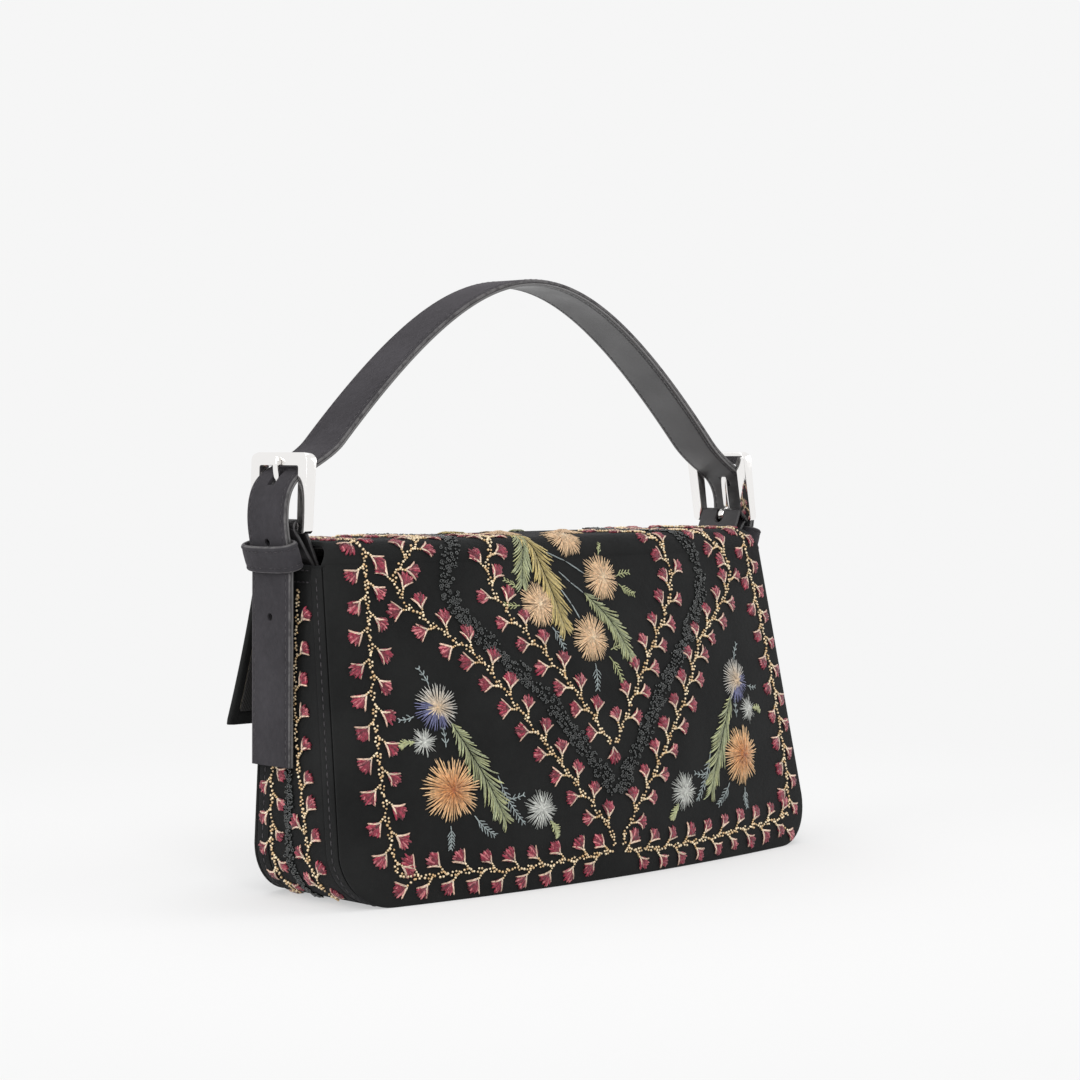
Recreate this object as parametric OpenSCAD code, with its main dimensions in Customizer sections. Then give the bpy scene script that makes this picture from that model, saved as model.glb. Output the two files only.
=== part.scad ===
// Baguette bag in suede, its back covered in needlework, carried by a strap on two buckles.
// X runs along the bag, -Y is the needlework back, +Y the flap side, +Z up.
// The origin is the middle of the flat bottom. Sizes are in millimetres.

/* [Body] */
// Length of the bag along its bottom
body_length = 264; // [230:1:300]
// Height to the top of the rolled shoulder
body_height = 137; // [120:1:160]
// Depth of the bottom at its two ends
base_depth = 56.4; // [48:0.2:66]
// How far each end leans in for each millimetre of height
end_lean = 0.071; // [0.04:0.001:0.09]
// How far the back leans in for each millimetre of height
back_lean = 0.175; // [0.12:0.005:0.2]
// How far the front leans out for each millimetre of height
front_lean = 0.02; // [0:0.005:0.03]
// Radius of the bottom corners
corner_r = 20; // [14:1:26]
// Swell of both panels at the bottom and top edge
edge_swell = 12; // [8:0.5:14]
// Extra swell of the back panel at mid height
back_swell = 7; // [3:0.5:9]
// Extra swell of the front panel at mid height
front_swell = 3; // [1:0.5:4]

/* [Walls] */
// Thickness of the back and front panels
panel_t = 1.8; // [1.4:0.1:2.4]
// Thickness of the gusset
gusset_t = 1.8; // [1.4:0.1:2.4]
// Height of the top hem of the gusset
hem_z = 128; // [118:0.5:128]
// How far the seam strips stand proud of the gusset
seam_t = 1.2; // [0.8:0.1:1.6]
// Width of the seam strips
seam_w = 7; // [5:0.5:9]
// Thickness of the lining
lining_t = 0.8; // [0.6:0.1:1.2]
// Thickness of the stiff board in the bottom
board_t = 2; // [1.5:0.1:2.5]

/* [Flap] */
// Half width of the flap along the top
flap_half_top = 118.2; // [105:0.1:118.6]
// Half width of the flap along its lip
flap_half_lip = 123; // [110:0.5:126]
// Height of the lip of the flap
lip_z = 64; // [50:1:80]
// Thickness of the suede of the flap
flap_suede_t = 1.2; // [1:0.1:1.4]
// Thickness of the board in the hanging part of the flap
flap_board_t = 0.7; // [0.5:0.1:0.9]
// Radius of the fold above the hanging part
fold_r = 7; // [5:0.5:8]
// How far the flap stands out from the ends of the front panel
flap_stand_off = 10.2; // [9.5:0.1:14]
// How far the ends of the lip flare out below the fold
end_flare = 14.6; // [10:0.2:18]
// How far the middle of the flap stands out past its ends at the fold
flap_bow = 5.5; // [5:0.1:7]

/* [Magnetic snap] */
// Diameter of the snap
snap_d = 18; // [14:1:20]
// Height of the snap above the bottom
snap_z = 84; // [78:1:100]
// Thickness of the half on the front panel
snap_socket_t = 1.8; // [1.6:0.1:2]
// Thickness of the half on the flap
snap_stud_t = 1.2; // [1:0.1:1.4]
// Diameter of the recess that the stud drops into
snap_recess_d = 10; // [9:0.5:12]

/* [Strap] */
// Height of the middle of the strap at its crown
crown_z = 240.6; // [215:0.5:270]
// Width of the strap
strap_w = 23.3; // [18:0.1:23.6]
// Thickness of the suede side of the strap
strap_suede_t = 1.5; // [1.2:0.1:1.6]
// Thickness of the leather side of the strap
strap_leather_t = 1.3; // [1:0.1:1.4]
// How gently the strap curves over its crown
crown_round = 95; // [70:1:130]
// Depth at which the strap, buckles and tabs are centred
strap_y = 17.2; // [15:0.1:17.2]
// Height of the end of the strap's tails
tail_z = 51; // [40:1:80]
// Distance of the cut between the crown and the ends of the strap from the middle
strap_cut_x = 112; // [108:0.5:114]

/* [Buckles] */
// Distance of the heel bars from the middle
heel_x = 125.5; // [125:0.1:126]
// Height of the heel bars
heel_z = 142.6; // [142:0.1:145]
// Diameter of the heel bars
heel_d = 3.2; // [2.8:0.1:3.4]
// Height from the heel bar to the middle of the top bar
buckle_rise = 25.9; // [25:0.1:28]
// Height of the top bar
top_bar_h = 5; // [4:0.1:5.4]
// Width of the buckle
buckle_w = 34.4; // [34:0.1:37]
// Width of each side bar
side_bar_w = 5.2; // [4.6:0.1:5.3]
// Thickness of the buckle at its top
buckle_t = 4.8; // [4.2:0.1:5]
// Thickness of the buckle at its heel
buckle_heel_t = 3.6; // [3.4:0.1:4.2]
// Radius of the top corners of the buckle
buckle_r = 3.6; // [2:0.1:5]
// Angle at which the left buckle leans in
left_lean = 3; // [0:0.5:10]
// Angle at which the right buckle leans in
right_lean = 9; // [0:0.5:10]
// Width of the prong
prong_w = 3.2; // [2.6:0.1:3.4]
// Thickness of the prong
prong_t = 1.8; // [1.4:0.1:2]
// Radial play of the prong on the heel bar
prong_play = 0.05; // [0.02:0.01:0.1]

/* [Tabs and keepers] */
// Thickness of the leather of a tab
tab_leather_t = 1.3; // [1.1:0.05:1.35]
// Width of a tab
tab_w = 22.6; // [18:0.1:23]
// Depth that a tab reaches down inside the gusset
tab_depth = 20; // [12:1:26]
// Thickness of the leather of a keeper
keeper_t = 1.3; // [1:0.1:1.4]
// Height of a keeper
keeper_h = 10.6; // [9:0.1:11]
// Angle at which a keeper tips
keeper_tip = 18; // [14:0.5:19]

/* [Hidden] */
$fn = 32;

suede = "#3b3638";
leather = "#55504f";
cloth = "#4a4442";
metal = "#c9ccd0";
board = "#8f8577";

// Gap between flat faces that touch, between curved faces that touch, and between pieces that move apart
face_gap = 0.05;
seat_gap = 0.15;
soft_gap = 0.3;
// Clearance of the strap in the windows and of the prongs in their slots
prong_slot_gap = 0.6;
keeper_gap = 1.75;

// Shape of the body
arc_centre_x = half_length(corner_r) - corner_r;
floor_z = seam_t + gusset_t;
roll_z = hem_z + soft_gap;
roll_r = body_height - roll_z;
front_top_z = hem_z + 1;
lining_top_z = hem_z - 0.2;
tab_t = 2 * tab_leather_t + 1;
lining_inset = floor_z + soft_gap + board_t + soft_gap;
lining_step = floor_z + soft_gap + tab_t + soft_gap - lining_inset;
columns = 16;
side_steps = 7;
arc_steps = 5;
bottom_steps = 13;
rim_steps = 2 * (side_steps + arc_steps) + bottom_steps;

// Half length of the bag at a height, and at an inset from its outline
function half_length(z) = body_length / 2 - end_lean * z;
function inset_half(z, d) = z >= corner_r ? half_length(z) - d
    : arc_centre_x + sqrt(max(0, pow(corner_r - d, 2) - pow(corner_r - z, 2)));
// Swell of a panel, nothing at the ends and full in the middle
function swell(x, z, extra) = (1 - pow(x / half_length(z), 2))
    * (edge_swell + extra * (1 - pow(2 * z / body_height - 1, 2)));
function back_y(x, z) = -base_depth / 2 + back_lean * z - swell(x, z, back_swell);
function front_y(x, z) = base_depth / 2 + front_lean * z + swell(x, z, front_swell);
// Outer faces of the flap, at its ends and in the middle, down from the fold
function flap_fall(z) = (fold_z - z) / (fold_z - lip_z);
function flap_end_y(z) = flap_y + end_flare * (0.65 * flap_fall(z) + 0.35 * pow(flap_fall(z), 2));
function mid_fall(z) = flap_fall(z) * (2.4 - flap_fall(z)) / 1.4;
function flap_mid_y(z) = flap_y + flap_bow + mid_flare * mid_fall(z);
function flap_half(z) = flap_half_top + (flap_half_lip - flap_half_top) * max(0, flap_fall(z));
function flap_front_y(u, z) = flap_end_y(z) + (flap_mid_y(z) - flap_end_y(z)) * (1 - u * u);
fold_z = body_height - fold_r;
flap_y = front_y(half_length(fold_z), fold_z) + flap_stand_off;
layer_gap = 0.1;
flap_t = flap_suede_t + flap_board_t + lining_t + 2 * layer_gap;
snap_face_y = front_y(0, snap_z);
snap_gap = 1;
snap_stack = snap_socket_t + snap_gap + snap_stud_t + flap_t + seat_gap + soft_gap;
mid_flare = (snap_face_y + snap_stack - flap_y - flap_bow) / mid_fall(snap_z);

// Points round the outline of the ends and bottom at an inset, from the right hem to the left one
function rim(i, d, top) =
    i > rim_steps / 2 ? mirror_x(rim(rim_steps - i, d, top))
    : i <= side_steps ? side_point(top - (top - corner_r) * i / side_steps, d)
    : i <= side_steps + arc_steps ? arc_point(90 * (i - side_steps) / arc_steps, d)
    : [arc_centre_x * (1 - 2 * (i - side_steps - arc_steps) / bottom_steps), d];
function side_point(z, d) = [half_length(z) - d, z];
function arc_point(a, d) = [arc_centre_x + (corner_r - d) * cos(a), corner_r - (corner_r - d) * sin(a)];
function mirror_x(p) = [-p[0], p[1]];
function smooth(t) = let (c = min(1, max(0, t))) c * c * (3 - 2 * c);
// 1 along the bottom and 0 up the ends
function on_bottom(i) = smooth((min(i, rim_steps - i) - side_steps) / arc_steps);

back_hinge = [back_y(0, roll_z) - 0.2, roll_z];
fold_hinge = [flap_y - fold_r, body_height];

// Closed shell between two grids of points, facing the way the grid turns
module shell(u_range, v_range, outer, inner, turned = false) {
    us = [for (u = u_range) u];
    vs = [for (v = v_range) v];
    nv = len(vs);
    nu = len(us);
    n = nu * nv;
    quads = concat(
        [for (i = [0:nu - 2], j = [0:nv - 2])
            [i * nv + j, (i + 1) * nv + j, (i + 1) * nv + j + 1, i * nv + j + 1]],
        [for (i = [0:nu - 2], j = [0:nv - 2])
            [n + i * nv + j, n + i * nv + j + 1, n + (i + 1) * nv + j + 1, n + (i + 1) * nv + j]],
        [for (j = [0:nv - 2]) [j, j + 1, n + j + 1, n + j]],
        [for (j = [0:nv - 2])
            [(nu - 1) * nv + j + 1, (nu - 1) * nv + j, n + (nu - 1) * nv + j, n + (nu - 1) * nv + j + 1]],
        [for (i = [0:nu - 2]) [(i + 1) * nv, i * nv, n + i * nv, n + (i + 1) * nv]],
        [for (i = [0:nu - 2])
            [i * nv + nv - 1, (i + 1) * nv + nv - 1, n + (i + 1) * nv + nv - 1, n + i * nv + nv - 1]]);
    faces = [for (q = quads) each [[q[0], q[1], q[2]], [q[0], q[2], q[3]]]];
    polyhedron(
        points = concat([for (u = us) for (v = vs) outer(u, v)], [for (u = us) for (v = vs) inner(u, v)]),
        faces = turned ? [for (f = faces) [f[2], f[1], f[0]]] : faces,
        convexity = 6);
}
across = [for (i = [0:columns]) 2 * i / columns - 1];
round_rim = [for (i = [0:rim_steps]) i];

// Heights of a panel's rows, round the corner and then up to its top edge
function panel_rows(d, top) = concat(
    [for (k = [0:arc_steps]) corner_r - (corner_r - d) * cos(90 * k / arc_steps)],
    [for (k = [1:side_steps]) corner_r + (top - corner_r) * k / side_steps]);
// Inset of the gusset's lining, deeper behind the ends of the tabs
function lining_d(z) = lining_inset + lining_step * smooth((z - hem_z + tab_depth + 28) / 16);
function rim_z(i, top) = rim(i, 0, top)[1];

module back_panel() {
    color(suede) shell(across, panel_rows(0, hem_z),
        function (u, z) let (x = u * inset_half(z, 0)) [x, back_y(x, z), z],
        function (u, z) let (x = u * inset_half(z, 0)) [x, back_y(x, z) + panel_t, z], true);
}

module front_panel() {
    color(suede) shell(across, panel_rows(0, front_top_z),
        function (u, z) let (x = u * inset_half(z, 0)) [x, front_y(x, z), z],
        function (u, z) let (x = u * inset_half(z, 0)) [x, front_y(x, z) - panel_t, z]);
}

// Point of the gusset, at an inset and at a distance from the back panel or from the front one
function near_back(i, d, far, top) = let (p = rim(i, d, top))
    [p[0], back_y(p[0], p[1]) + panel_t + seat_gap + far, p[1]];
function near_front(i, d, far, top) = let (p = rim(i, d, top))
    [p[0], front_y(p[0], p[1]) - panel_t - seat_gap - far, p[1]];
function gusset_point(i, j, d, d_middle) =
    j == 0 ? near_back(i, d, 0, hem_z)
    : j == 1 ? near_back(i, d, seam_w + face_gap, hem_z)
    : j == 2 ? near_back(i, d_middle, seam_w + 2 * face_gap, hem_z)
    : j == 3 ? near_front(i, d_middle, seam_w + 2 * face_gap, hem_z)
    : j == 4 ? near_front(i, d, seam_w + face_gap, hem_z)
    : near_front(i, d, 0, hem_z);

// One strip down an end, along the bottom and up the other end, level with the seams underneath
module gusset() {
    color(suede) shell(round_rim, [0:5],
        function (i, j) gusset_point(i, j, seam_t, seam_t * (1 - on_bottom(i))),
        function (i, j) gusset_point(i, j, floor_z, floor_z), true);
}

module back_seam_strip() {
    color(suede) shell(round_rim, [0, seam_w],
        function (i, y) near_back(i, 0, y, hem_z - 1),
        function (i, y) near_back(i, seam_t - face_gap, y, hem_z - 1), true);
}

module front_seam_strip() {
    color(suede) shell(round_rim, [seam_w, 0],
        function (i, y) near_front(i, 0, y, hem_z - 1),
        function (i, y) near_front(i, seam_t - face_gap, y, hem_z - 1), true);
}

function lining_side(z) = inset_half(z, lining_d(z) + lining_t + soft_gap);

module back_lining() {
    start = lining_inset + lining_t + soft_gap;
    y0 = panel_t + soft_gap;
    color(cloth) shell(across, panel_rows(start, lining_top_z),
        function (u, z) let (x = u * lining_side(z)) [x, back_y(x, z) + y0, z],
        function (u, z) let (x = u * lining_side(z)) [x, back_y(x, z) + y0 + lining_t, z], true);
}

module front_lining() {
    start = lining_inset + lining_t + soft_gap;
    y0 = panel_t + soft_gap;
    color(cloth) shell(across, panel_rows(start, lining_top_z),
        function (u, z) let (x = u * lining_side(z)) [x, front_y(x, z) - y0, z],
        function (u, z) let (x = u * lining_side(z)) [x, front_y(x, z) - y0 - lining_t, z]);
}

module gusset_lining() {
    far = soft_gap;
    color(cloth) shell(round_rim, [0, 1],
        function (i, side) let (d = lining_d(rim_z(i, lining_top_z)))
            side == 0 ? near_back(i, d, far, lining_top_z) : near_front(i, d, far, lining_top_z),
        function (i, side) let (d = lining_d(rim_z(i, lining_top_z)) + lining_t)
            side == 0 ? near_back(i, d, far, lining_top_z) : near_front(i, d, far, lining_top_z), true);
}

// Stiff board between the gusset and its lining, as wide as the bottom lets it be
module base_board() {
    half = arc_centre_x - 1;
    xs = [for (i = [0:24]) half * (i / 12 - 1)];
    z0 = floor_z + soft_gap;
    inset = panel_t + 2 * soft_gap;
    color(board) translate([0, 0, z0]) linear_extrude(board_t) polygon(concat(
        [for (x = xs) [x, back_y(x, z0 + board_t) + inset]],
        [for (i = [24:-1:0]) [xs[i], front_y(xs[i], z0) - inset]]));
}

// Shoulder of the flap: it rolls up off the back panel and runs level over the mouth
roll_steps = 6;
function shoulder_point(u, v, d) =
    let (
        turn = min(v, roll_steps) / roll_steps * 90,
        half = flap_half_top + (half_length(roll_z) - soft_gap - flap_half_top) * (1 - sin(turn)),
        start = back_y(u * half_length(roll_z), roll_z) + roll_r,
        end = flap_front_y(u, fold_z) - fold_r - soft_gap / 2,
        along = max(0, v - roll_steps) / 2)
    [u * half, start - (roll_r - d) * cos(turn) + (end - start) * along, roll_z + (roll_r - d) * sin(turn)];

module flap_top() {
    color(suede) shell(across, [0:roll_steps + 2],
        function (u, v) shoulder_point(u, v, 0),
        function (u, v) shoulder_point(u, v, flap_suede_t + flap_board_t), true);
}

module flap_top_lining() {
    start = flap_suede_t + flap_board_t + 2 * layer_gap;
    color(cloth) shell(across, [0:roll_steps + 2],
        function (u, v) shoulder_point(u, v, start),
        function (u, v) shoulder_point(u, v, start + lining_t), true);
}

// Hanging part of the flap: it folds over and falls, flaring out at its ends
fold_steps = 4;
drop_steps = 6;
function hanging_point(u, v, d) =
    let (
        turn = 90 - 90 * min(v, fold_steps) / fold_steps,
        down = max(0, v - fold_steps) / drop_steps,
        z = fold_z - (fold_z - lip_z) * down)
    v <= fold_steps
        ? [u * flap_half_top,
            flap_front_y(u, fold_z) - fold_r + max((fold_r - d) * cos(turn), soft_gap / 2),
            fold_z + (fold_r - d) * sin(turn)]
        : [u * flap_half(z), flap_front_y(u, z) - d, z];

module flap_front() {
    color(suede) shell(across, [0:fold_steps + drop_steps],
        function (u, v) hanging_point(u, v, 0),
        function (u, v) hanging_point(u, v, flap_suede_t), true);
}

module flap_board() {
    start = flap_suede_t + layer_gap;
    edge = 0.985;
    rows = concat([for (k = [0:drop_steps - 1]) fold_steps + k], fold_steps + drop_steps - 0.1);
    color(board) shell(across, rows,
        function (u, v) hanging_point(u * edge, v, start),
        function (u, v) hanging_point(u * edge, v, start + flap_board_t), true);
}

module flap_front_lining() {
    start = flap_suede_t + flap_board_t + 2 * layer_gap;
    color(cloth) shell(across, [0:fold_steps + drop_steps],
        function (u, v) hanging_point(u, v, start),
        function (u, v) hanging_point(u, v, start + lining_t), true);
}

// Magnetic snap: a ring with a recess on the panel, a disc with a short stud on the flap
snap_edge = 0.4;
snap_recess_h = 1.2;
snap_boss_h = 1.6;
snap_tilt = atan(mid_flare * (2.4 - 2 * flap_fall(snap_z)) / 1.4 / (fold_z - lip_z));

module snap_socket() {
    r = snap_d / 2;
    color(metal) translate([0, snap_face_y + seat_gap, snap_z]) rotate([-90, 0, 0]) rotate_extrude()
        polygon([[0, 0], [r, 0], [r, snap_socket_t - snap_edge], [r - snap_edge, snap_socket_t],
            [snap_recess_d / 2 + snap_edge, snap_socket_t], [snap_recess_d / 2, snap_socket_t - snap_edge],
            [snap_recess_d / 2, snap_socket_t - snap_recess_h], [0, snap_socket_t - snap_recess_h]]);
}

module snap_stud() {
    r = snap_d / 2;
    boss_r = snap_recess_d / 4;
    back = flap_mid_y(snap_z) - flap_t - soft_gap;
    color(metal) translate([0, back, snap_z]) rotate([90 + snap_tilt, 0, 0]) rotate_extrude()
        polygon([[0, 0], [r, 0], [r, snap_stud_t - snap_edge], [r - snap_edge, snap_stud_t],
            [boss_r + snap_edge, snap_stud_t], [boss_r, snap_stud_t + snap_boss_h - snap_edge],
            [boss_r - snap_edge, snap_stud_t + snap_boss_h], [0, snap_stud_t + snap_boss_h]]);
}

// Route of the strap: its crown, then out through the buckle, over the heel and down as the tail
strap_t = strap_suede_t + strap_leather_t;
join = [heel_x - 21.5, heel_z + 32.6];
crown_k = (crown_z - join[1]) / (norm([crown_round, join[0]]) - crown_round);
join_slope = -crown_k * join[0] / norm([crown_round, join[0]]);
function top_bar(lean) = [heel_x - buckle_rise * sin(lean), heel_z + buckle_rise * cos(lean)];
bar_room = 1.8;
function under_bar(lean) = top_bar(lean) - [0, top_bar_h / 2 + strap_t / 2 + bar_room];
bulge = [heel_x + 6.4, heel_z + 3.4];
tail_start = [heel_x + 4.1, heel_z - 15.6];
tail_end = [half_length(tail_z) + soft_gap + strap_t / 2, tail_z];
function bezier(a, b, c, d, n) = [for (k = [1:n]) let (t = k / n, s = 1 - t)
    s * s * s * a + 3 * s * s * t * b + 3 * s * t * t * c + t * t * t * d];
function unit(v) = v / norm(v);
function half_route(lean) = concat(
    [for (k = [0:10]) let (x = join[0] * k / 10)
        [x, crown_z - crown_k * (norm([crown_round, x]) - crown_round)]],
    bezier(join, join + 7 * unit([1, join_slope]), under_bar(lean) - [6.4, -3.6], under_bar(lean), 6),
    bezier(under_bar(lean), under_bar(lean) + [5, -2.8], bulge + [0, 9], bulge, 8),
    bezier(bulge, bulge - [0, 7], tail_start + [0, 7], tail_start, 5),
    [tail_end]);
right_route = half_route(right_lean);
left_half = half_route(left_lean);
route = concat([for (k = [len(left_half) - 1:-1:1]) mirror_x(left_half[k])], right_route);

// Side face of a ribbon along a route, from one distance off its middle to another
function side_step(path, k) = unit(path[min(k + 1, len(path) - 1)] - path[max(k - 1, 0)]);
function beside(path, k, d) = let (s = side_step(path, k)) path[k] + d * [-s[1], s[0]];
module ribbon(path, low, high, width) {
    last = len(path) - 1;
    translate([0, strap_y, 0]) rotate([90, 0, 0]) linear_extrude(width, center = true) polygon(concat(
        [for (k = [0:last]) beside(path, k, high)], [for (k = [last:-1:0]) beside(path, k, low)]));
}

// Places a child at the heel bar of the left or right buckle, leaning with it
module at_heel(side, lean) {
    mirror([side < 0 ? 1 : 0, 0, 0]) translate([heel_x, strap_y, heel_z]) rotate([0, -lean, 0]) children();
}

hole_d = 3;
hole_pitch = 28.5;
prong_slot_low = 10.5;
prong_slot_high = 22;

// End of the strap on one side, with the slot that the prong stands in and the spare holes
module strap_end(side, lean, low, high) {
    path = side < 0 ? left_half : right_route;
    difference() {
        mirror([side < 0 ? 1 : 0, 0, 0]) ribbon(path, low, high, strap_w);
        translate([side * (strap_cut_x + soft_gap / 2 - 200), strap_y, crown_z / 2])
            cube([400, strap_w + 2, crown_z + 20], center = true);
        at_heel(side, lean) translate([1.2, -prong_w / 2 - prong_slot_gap, prong_slot_low])
            cube([6, prong_w + 2 * prong_slot_gap, prong_slot_high - prong_slot_low]);
        for (k = [0, 1]) translate([side * heel_x, strap_y, heel_z - 6 - k * hole_pitch])
            rotate([0, 90, 0]) cylinder(h = 24, d = hole_d, center = true);
    }
}

module arch(low, high) {
    intersection() {
        ribbon(route, low, high, strap_w);
        translate([0, strap_y, crown_z / 2])
            cube([2 * strap_cut_x - soft_gap, strap_w + 2, crown_z + 20], center = true);
    }
}

suede_low = strap_leather_t - strap_t / 2 + face_gap / 2;
leather_high = suede_low - face_gap;
module left_strap_suede() { color(suede) strap_end(-1, left_lean, suede_low, strap_t / 2); }
module right_strap_suede() { color(suede) strap_end(1, right_lean, suede_low, strap_t / 2); }
module left_strap_leather() { color(leather) strap_end(-1, left_lean, -strap_t / 2, leather_high); }
module right_strap_leather() { color(leather) strap_end(1, right_lean, -strap_t / 2, leather_high); }
module handle_suede() { color(suede) arch(suede_low, strap_t / 2); }
module handle_leather() { color(leather) arch(-strap_t / 2, leather_high); }

// Rounded rectangle between two corners, with its own radius at the bottom and at the top
function corner(c, r, a0) = [for (a = [a0:15:a0 + 90]) c + r * [cos(a), sin(a)]];
function rounded(low, high, r_low, r_high) = concat(
    corner([high[0] - r_low, low[1] + r_low], r_low, 270), corner(high - [r_high, r_high], r_high, 0),
    corner([low[0] + r_high, high[1] - r_high], r_high, 90), corner(low + [r_low, r_low], r_low, 180));

// Buckle: a frame that thins towards its round heel bar
module buckle_frame() {
    top = buckle_rise + top_bar_h / 2;
    foot = -buckle_heel_t / 2 - 0.6;
    window = buckle_w / 2 - side_bar_w;
    intersection() {
        rotate([90, 0, 90]) linear_extrude(2 * buckle_t, center = true) difference() {
            polygon(rounded([-buckle_w / 2, foot], [buckle_w / 2, top], 1.8, buckle_r));
            polygon(rounded([-window, foot - 5], [window, buckle_rise - top_bar_h / 2], 0.5, 1));
        }
        rotate([90, 0, 0]) linear_extrude(buckle_w + 2, center = true) polygon([
            [-buckle_heel_t / 2, foot - 1], [buckle_heel_t / 2, foot - 1], [buckle_t / 2, top - 1.4],
            [buckle_t / 2 - 1, top + 0.1], [1 - buckle_t / 2, top + 0.1], [-buckle_t / 2, top - 1.4]]);
    }
    rotate([90, 0, 0]) cylinder(h = 2 * window + 1, d = heel_d, center = true);
}

module left_buckle() { color(metal) at_heel(-1, left_lean) buckle_frame(); }
module right_buckle() { color(metal) at_heel(1, right_lean) buckle_frame(); }

// Prong: an eye on the heel bar and a tongue that rests on the outside of the top bar
prong_eye_t = 1.4;
module prong() {
    seat = buckle_t / 2 + soft_gap + prong_t / 2;
    path = [[1.4, 1], [2.2, 7], [seat - 0.5, 15], [seat, buckle_rise - 3], [seat, buckle_rise],
        [seat - 0.1, buckle_rise + 1.6], [seat - 0.5, buckle_rise + 3]];
    difference() {
        union() {
            rotate([90, 0, 0]) cylinder(h = prong_w, d = heel_d + 2 * (prong_play + prong_eye_t), center = true);
            translate([0, -strap_y, 0]) ribbon(path, -prong_t / 2, prong_t / 2, prong_w);
        }
        rotate([90, 0, 0]) cylinder(h = prong_w + 2, d = heel_d + 2 * prong_play, center = true);
    }
}

module left_prong() { color(metal) at_heel(-1, left_lean) prong(); }
module right_prong() { color(metal) at_heel(1, right_lean) prong(); }

// Tab: a strip looped round the heel bar, both ends sewn inside the gusset, slit for the prong
tab_bar_gap = 0.1;
function tab_x(z) = half_length(z) - floor_z - soft_gap;
module tab(side) {
    heel = [heel_x, heel_z];
    r_in = heel_d / 2 + tab_bar_gap;
    r_out = r_in + tab_leather_t;
    neck = hem_z + 0.5;
    foot = hem_z - tab_depth;
    sewn = foot + 5;
    turn = [for (a = [-33:12:147]) [cos(a), sin(a)]];
    slit = prong_w + 2 * prong_slot_gap;
    mirror([side < 0 ? 1 : 0, 0, 0]) translate([0, strap_y, 0]) difference() {
        rotate([90, 0, 0]) linear_extrude(tab_w, center = true) difference() {
            polygon(concat([for (c = turn) heel + r_out * c],
                [[tab_x(neck) - tab_t, neck], [tab_x(foot) - tab_t, foot], [tab_x(foot), foot],
                [tab_x(neck), neck]]));
            polygon(concat([for (c = turn) heel + r_in * c],
                [[tab_x(neck) - tab_t + tab_leather_t, neck], [tab_x(sewn) - tab_t + tab_leather_t, sewn],
                [tab_x(sewn) - tab_leather_t, sewn], [tab_x(neck) - tab_leather_t, neck]]));
        }
        translate([heel_x - 10, -slit / 2, heel_z - 5]) cube([20, slit, 20]);
    }
}

module left_tab() { color(leather) tab(-1); }
module right_tab() { color(leather) tab(1); }

// Keeper: a loose loop round the tail, tipped down on its outer side
module keeper(side) {
    half = [strap_t / 2 + 2.3, strap_w / 2 + keeper_gap];
    outer = half + [keeper_t, keeper_t];
    mirror([side < 0 ? 1 : 0, 0, 0]) translate([heel_x + 4.5, strap_y, heel_z - 11.1])
        rotate([0, keeper_tip, 0]) linear_extrude(keeper_h, center = true) difference() {
            polygon(rounded(-outer, outer, 3, 3));
            polygon(rounded(-half, half, 1.8, 1.8));
        }
}

module left_keeper() { color(leather) keeper(-1); }
module right_keeper() { color(leather) keeper(1); }

back_panel();
front_panel();
gusset();
back_seam_strip();
front_seam_strip();
back_lining();
front_lining();
gusset_lining();
base_board();
flap_top();
flap_front();
flap_top_lining();
flap_front_lining();
flap_board();
snap_socket();
snap_stud();
left_tab();
right_tab();
left_keeper();
right_keeper();
left_buckle();
right_buckle();
left_prong();
right_prong();
left_strap_suede();
right_strap_suede();
left_strap_leather();
right_strap_leather();
handle_suede();
handle_leather();
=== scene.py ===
"""Baguette bag in suede with needlework: fine surfaces, finishes, floor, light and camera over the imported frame.

Shapes are worked out in millimetres as whole arrays, and go into meshes in metres.
X runs along the bag, -Y is the needlework back, +Y the flap side, +Z up."""
import math

import bmesh
import bpy
import numpy as np
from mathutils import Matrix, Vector


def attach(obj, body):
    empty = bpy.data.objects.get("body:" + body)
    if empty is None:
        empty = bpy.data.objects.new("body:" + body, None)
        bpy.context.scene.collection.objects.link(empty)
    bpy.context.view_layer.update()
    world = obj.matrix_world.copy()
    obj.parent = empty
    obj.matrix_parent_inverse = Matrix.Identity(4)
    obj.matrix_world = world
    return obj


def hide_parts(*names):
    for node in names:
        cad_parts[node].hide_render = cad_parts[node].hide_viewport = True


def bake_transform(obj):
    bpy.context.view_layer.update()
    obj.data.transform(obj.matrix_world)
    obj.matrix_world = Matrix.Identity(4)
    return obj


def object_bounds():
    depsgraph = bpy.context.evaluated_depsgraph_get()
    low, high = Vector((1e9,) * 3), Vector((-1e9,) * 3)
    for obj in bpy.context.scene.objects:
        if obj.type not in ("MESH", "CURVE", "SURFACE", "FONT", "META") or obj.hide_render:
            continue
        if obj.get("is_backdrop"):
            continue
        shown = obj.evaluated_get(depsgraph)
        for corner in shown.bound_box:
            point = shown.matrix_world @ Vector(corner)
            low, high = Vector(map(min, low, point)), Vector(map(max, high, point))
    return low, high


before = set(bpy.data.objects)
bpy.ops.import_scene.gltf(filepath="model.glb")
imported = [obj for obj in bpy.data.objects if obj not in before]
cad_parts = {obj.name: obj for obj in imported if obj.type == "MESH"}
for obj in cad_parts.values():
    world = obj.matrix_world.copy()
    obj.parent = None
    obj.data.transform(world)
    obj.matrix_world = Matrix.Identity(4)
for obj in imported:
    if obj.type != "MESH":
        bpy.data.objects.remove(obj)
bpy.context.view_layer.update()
MM = 0.001
rng = np.random.default_rng(11)

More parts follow.
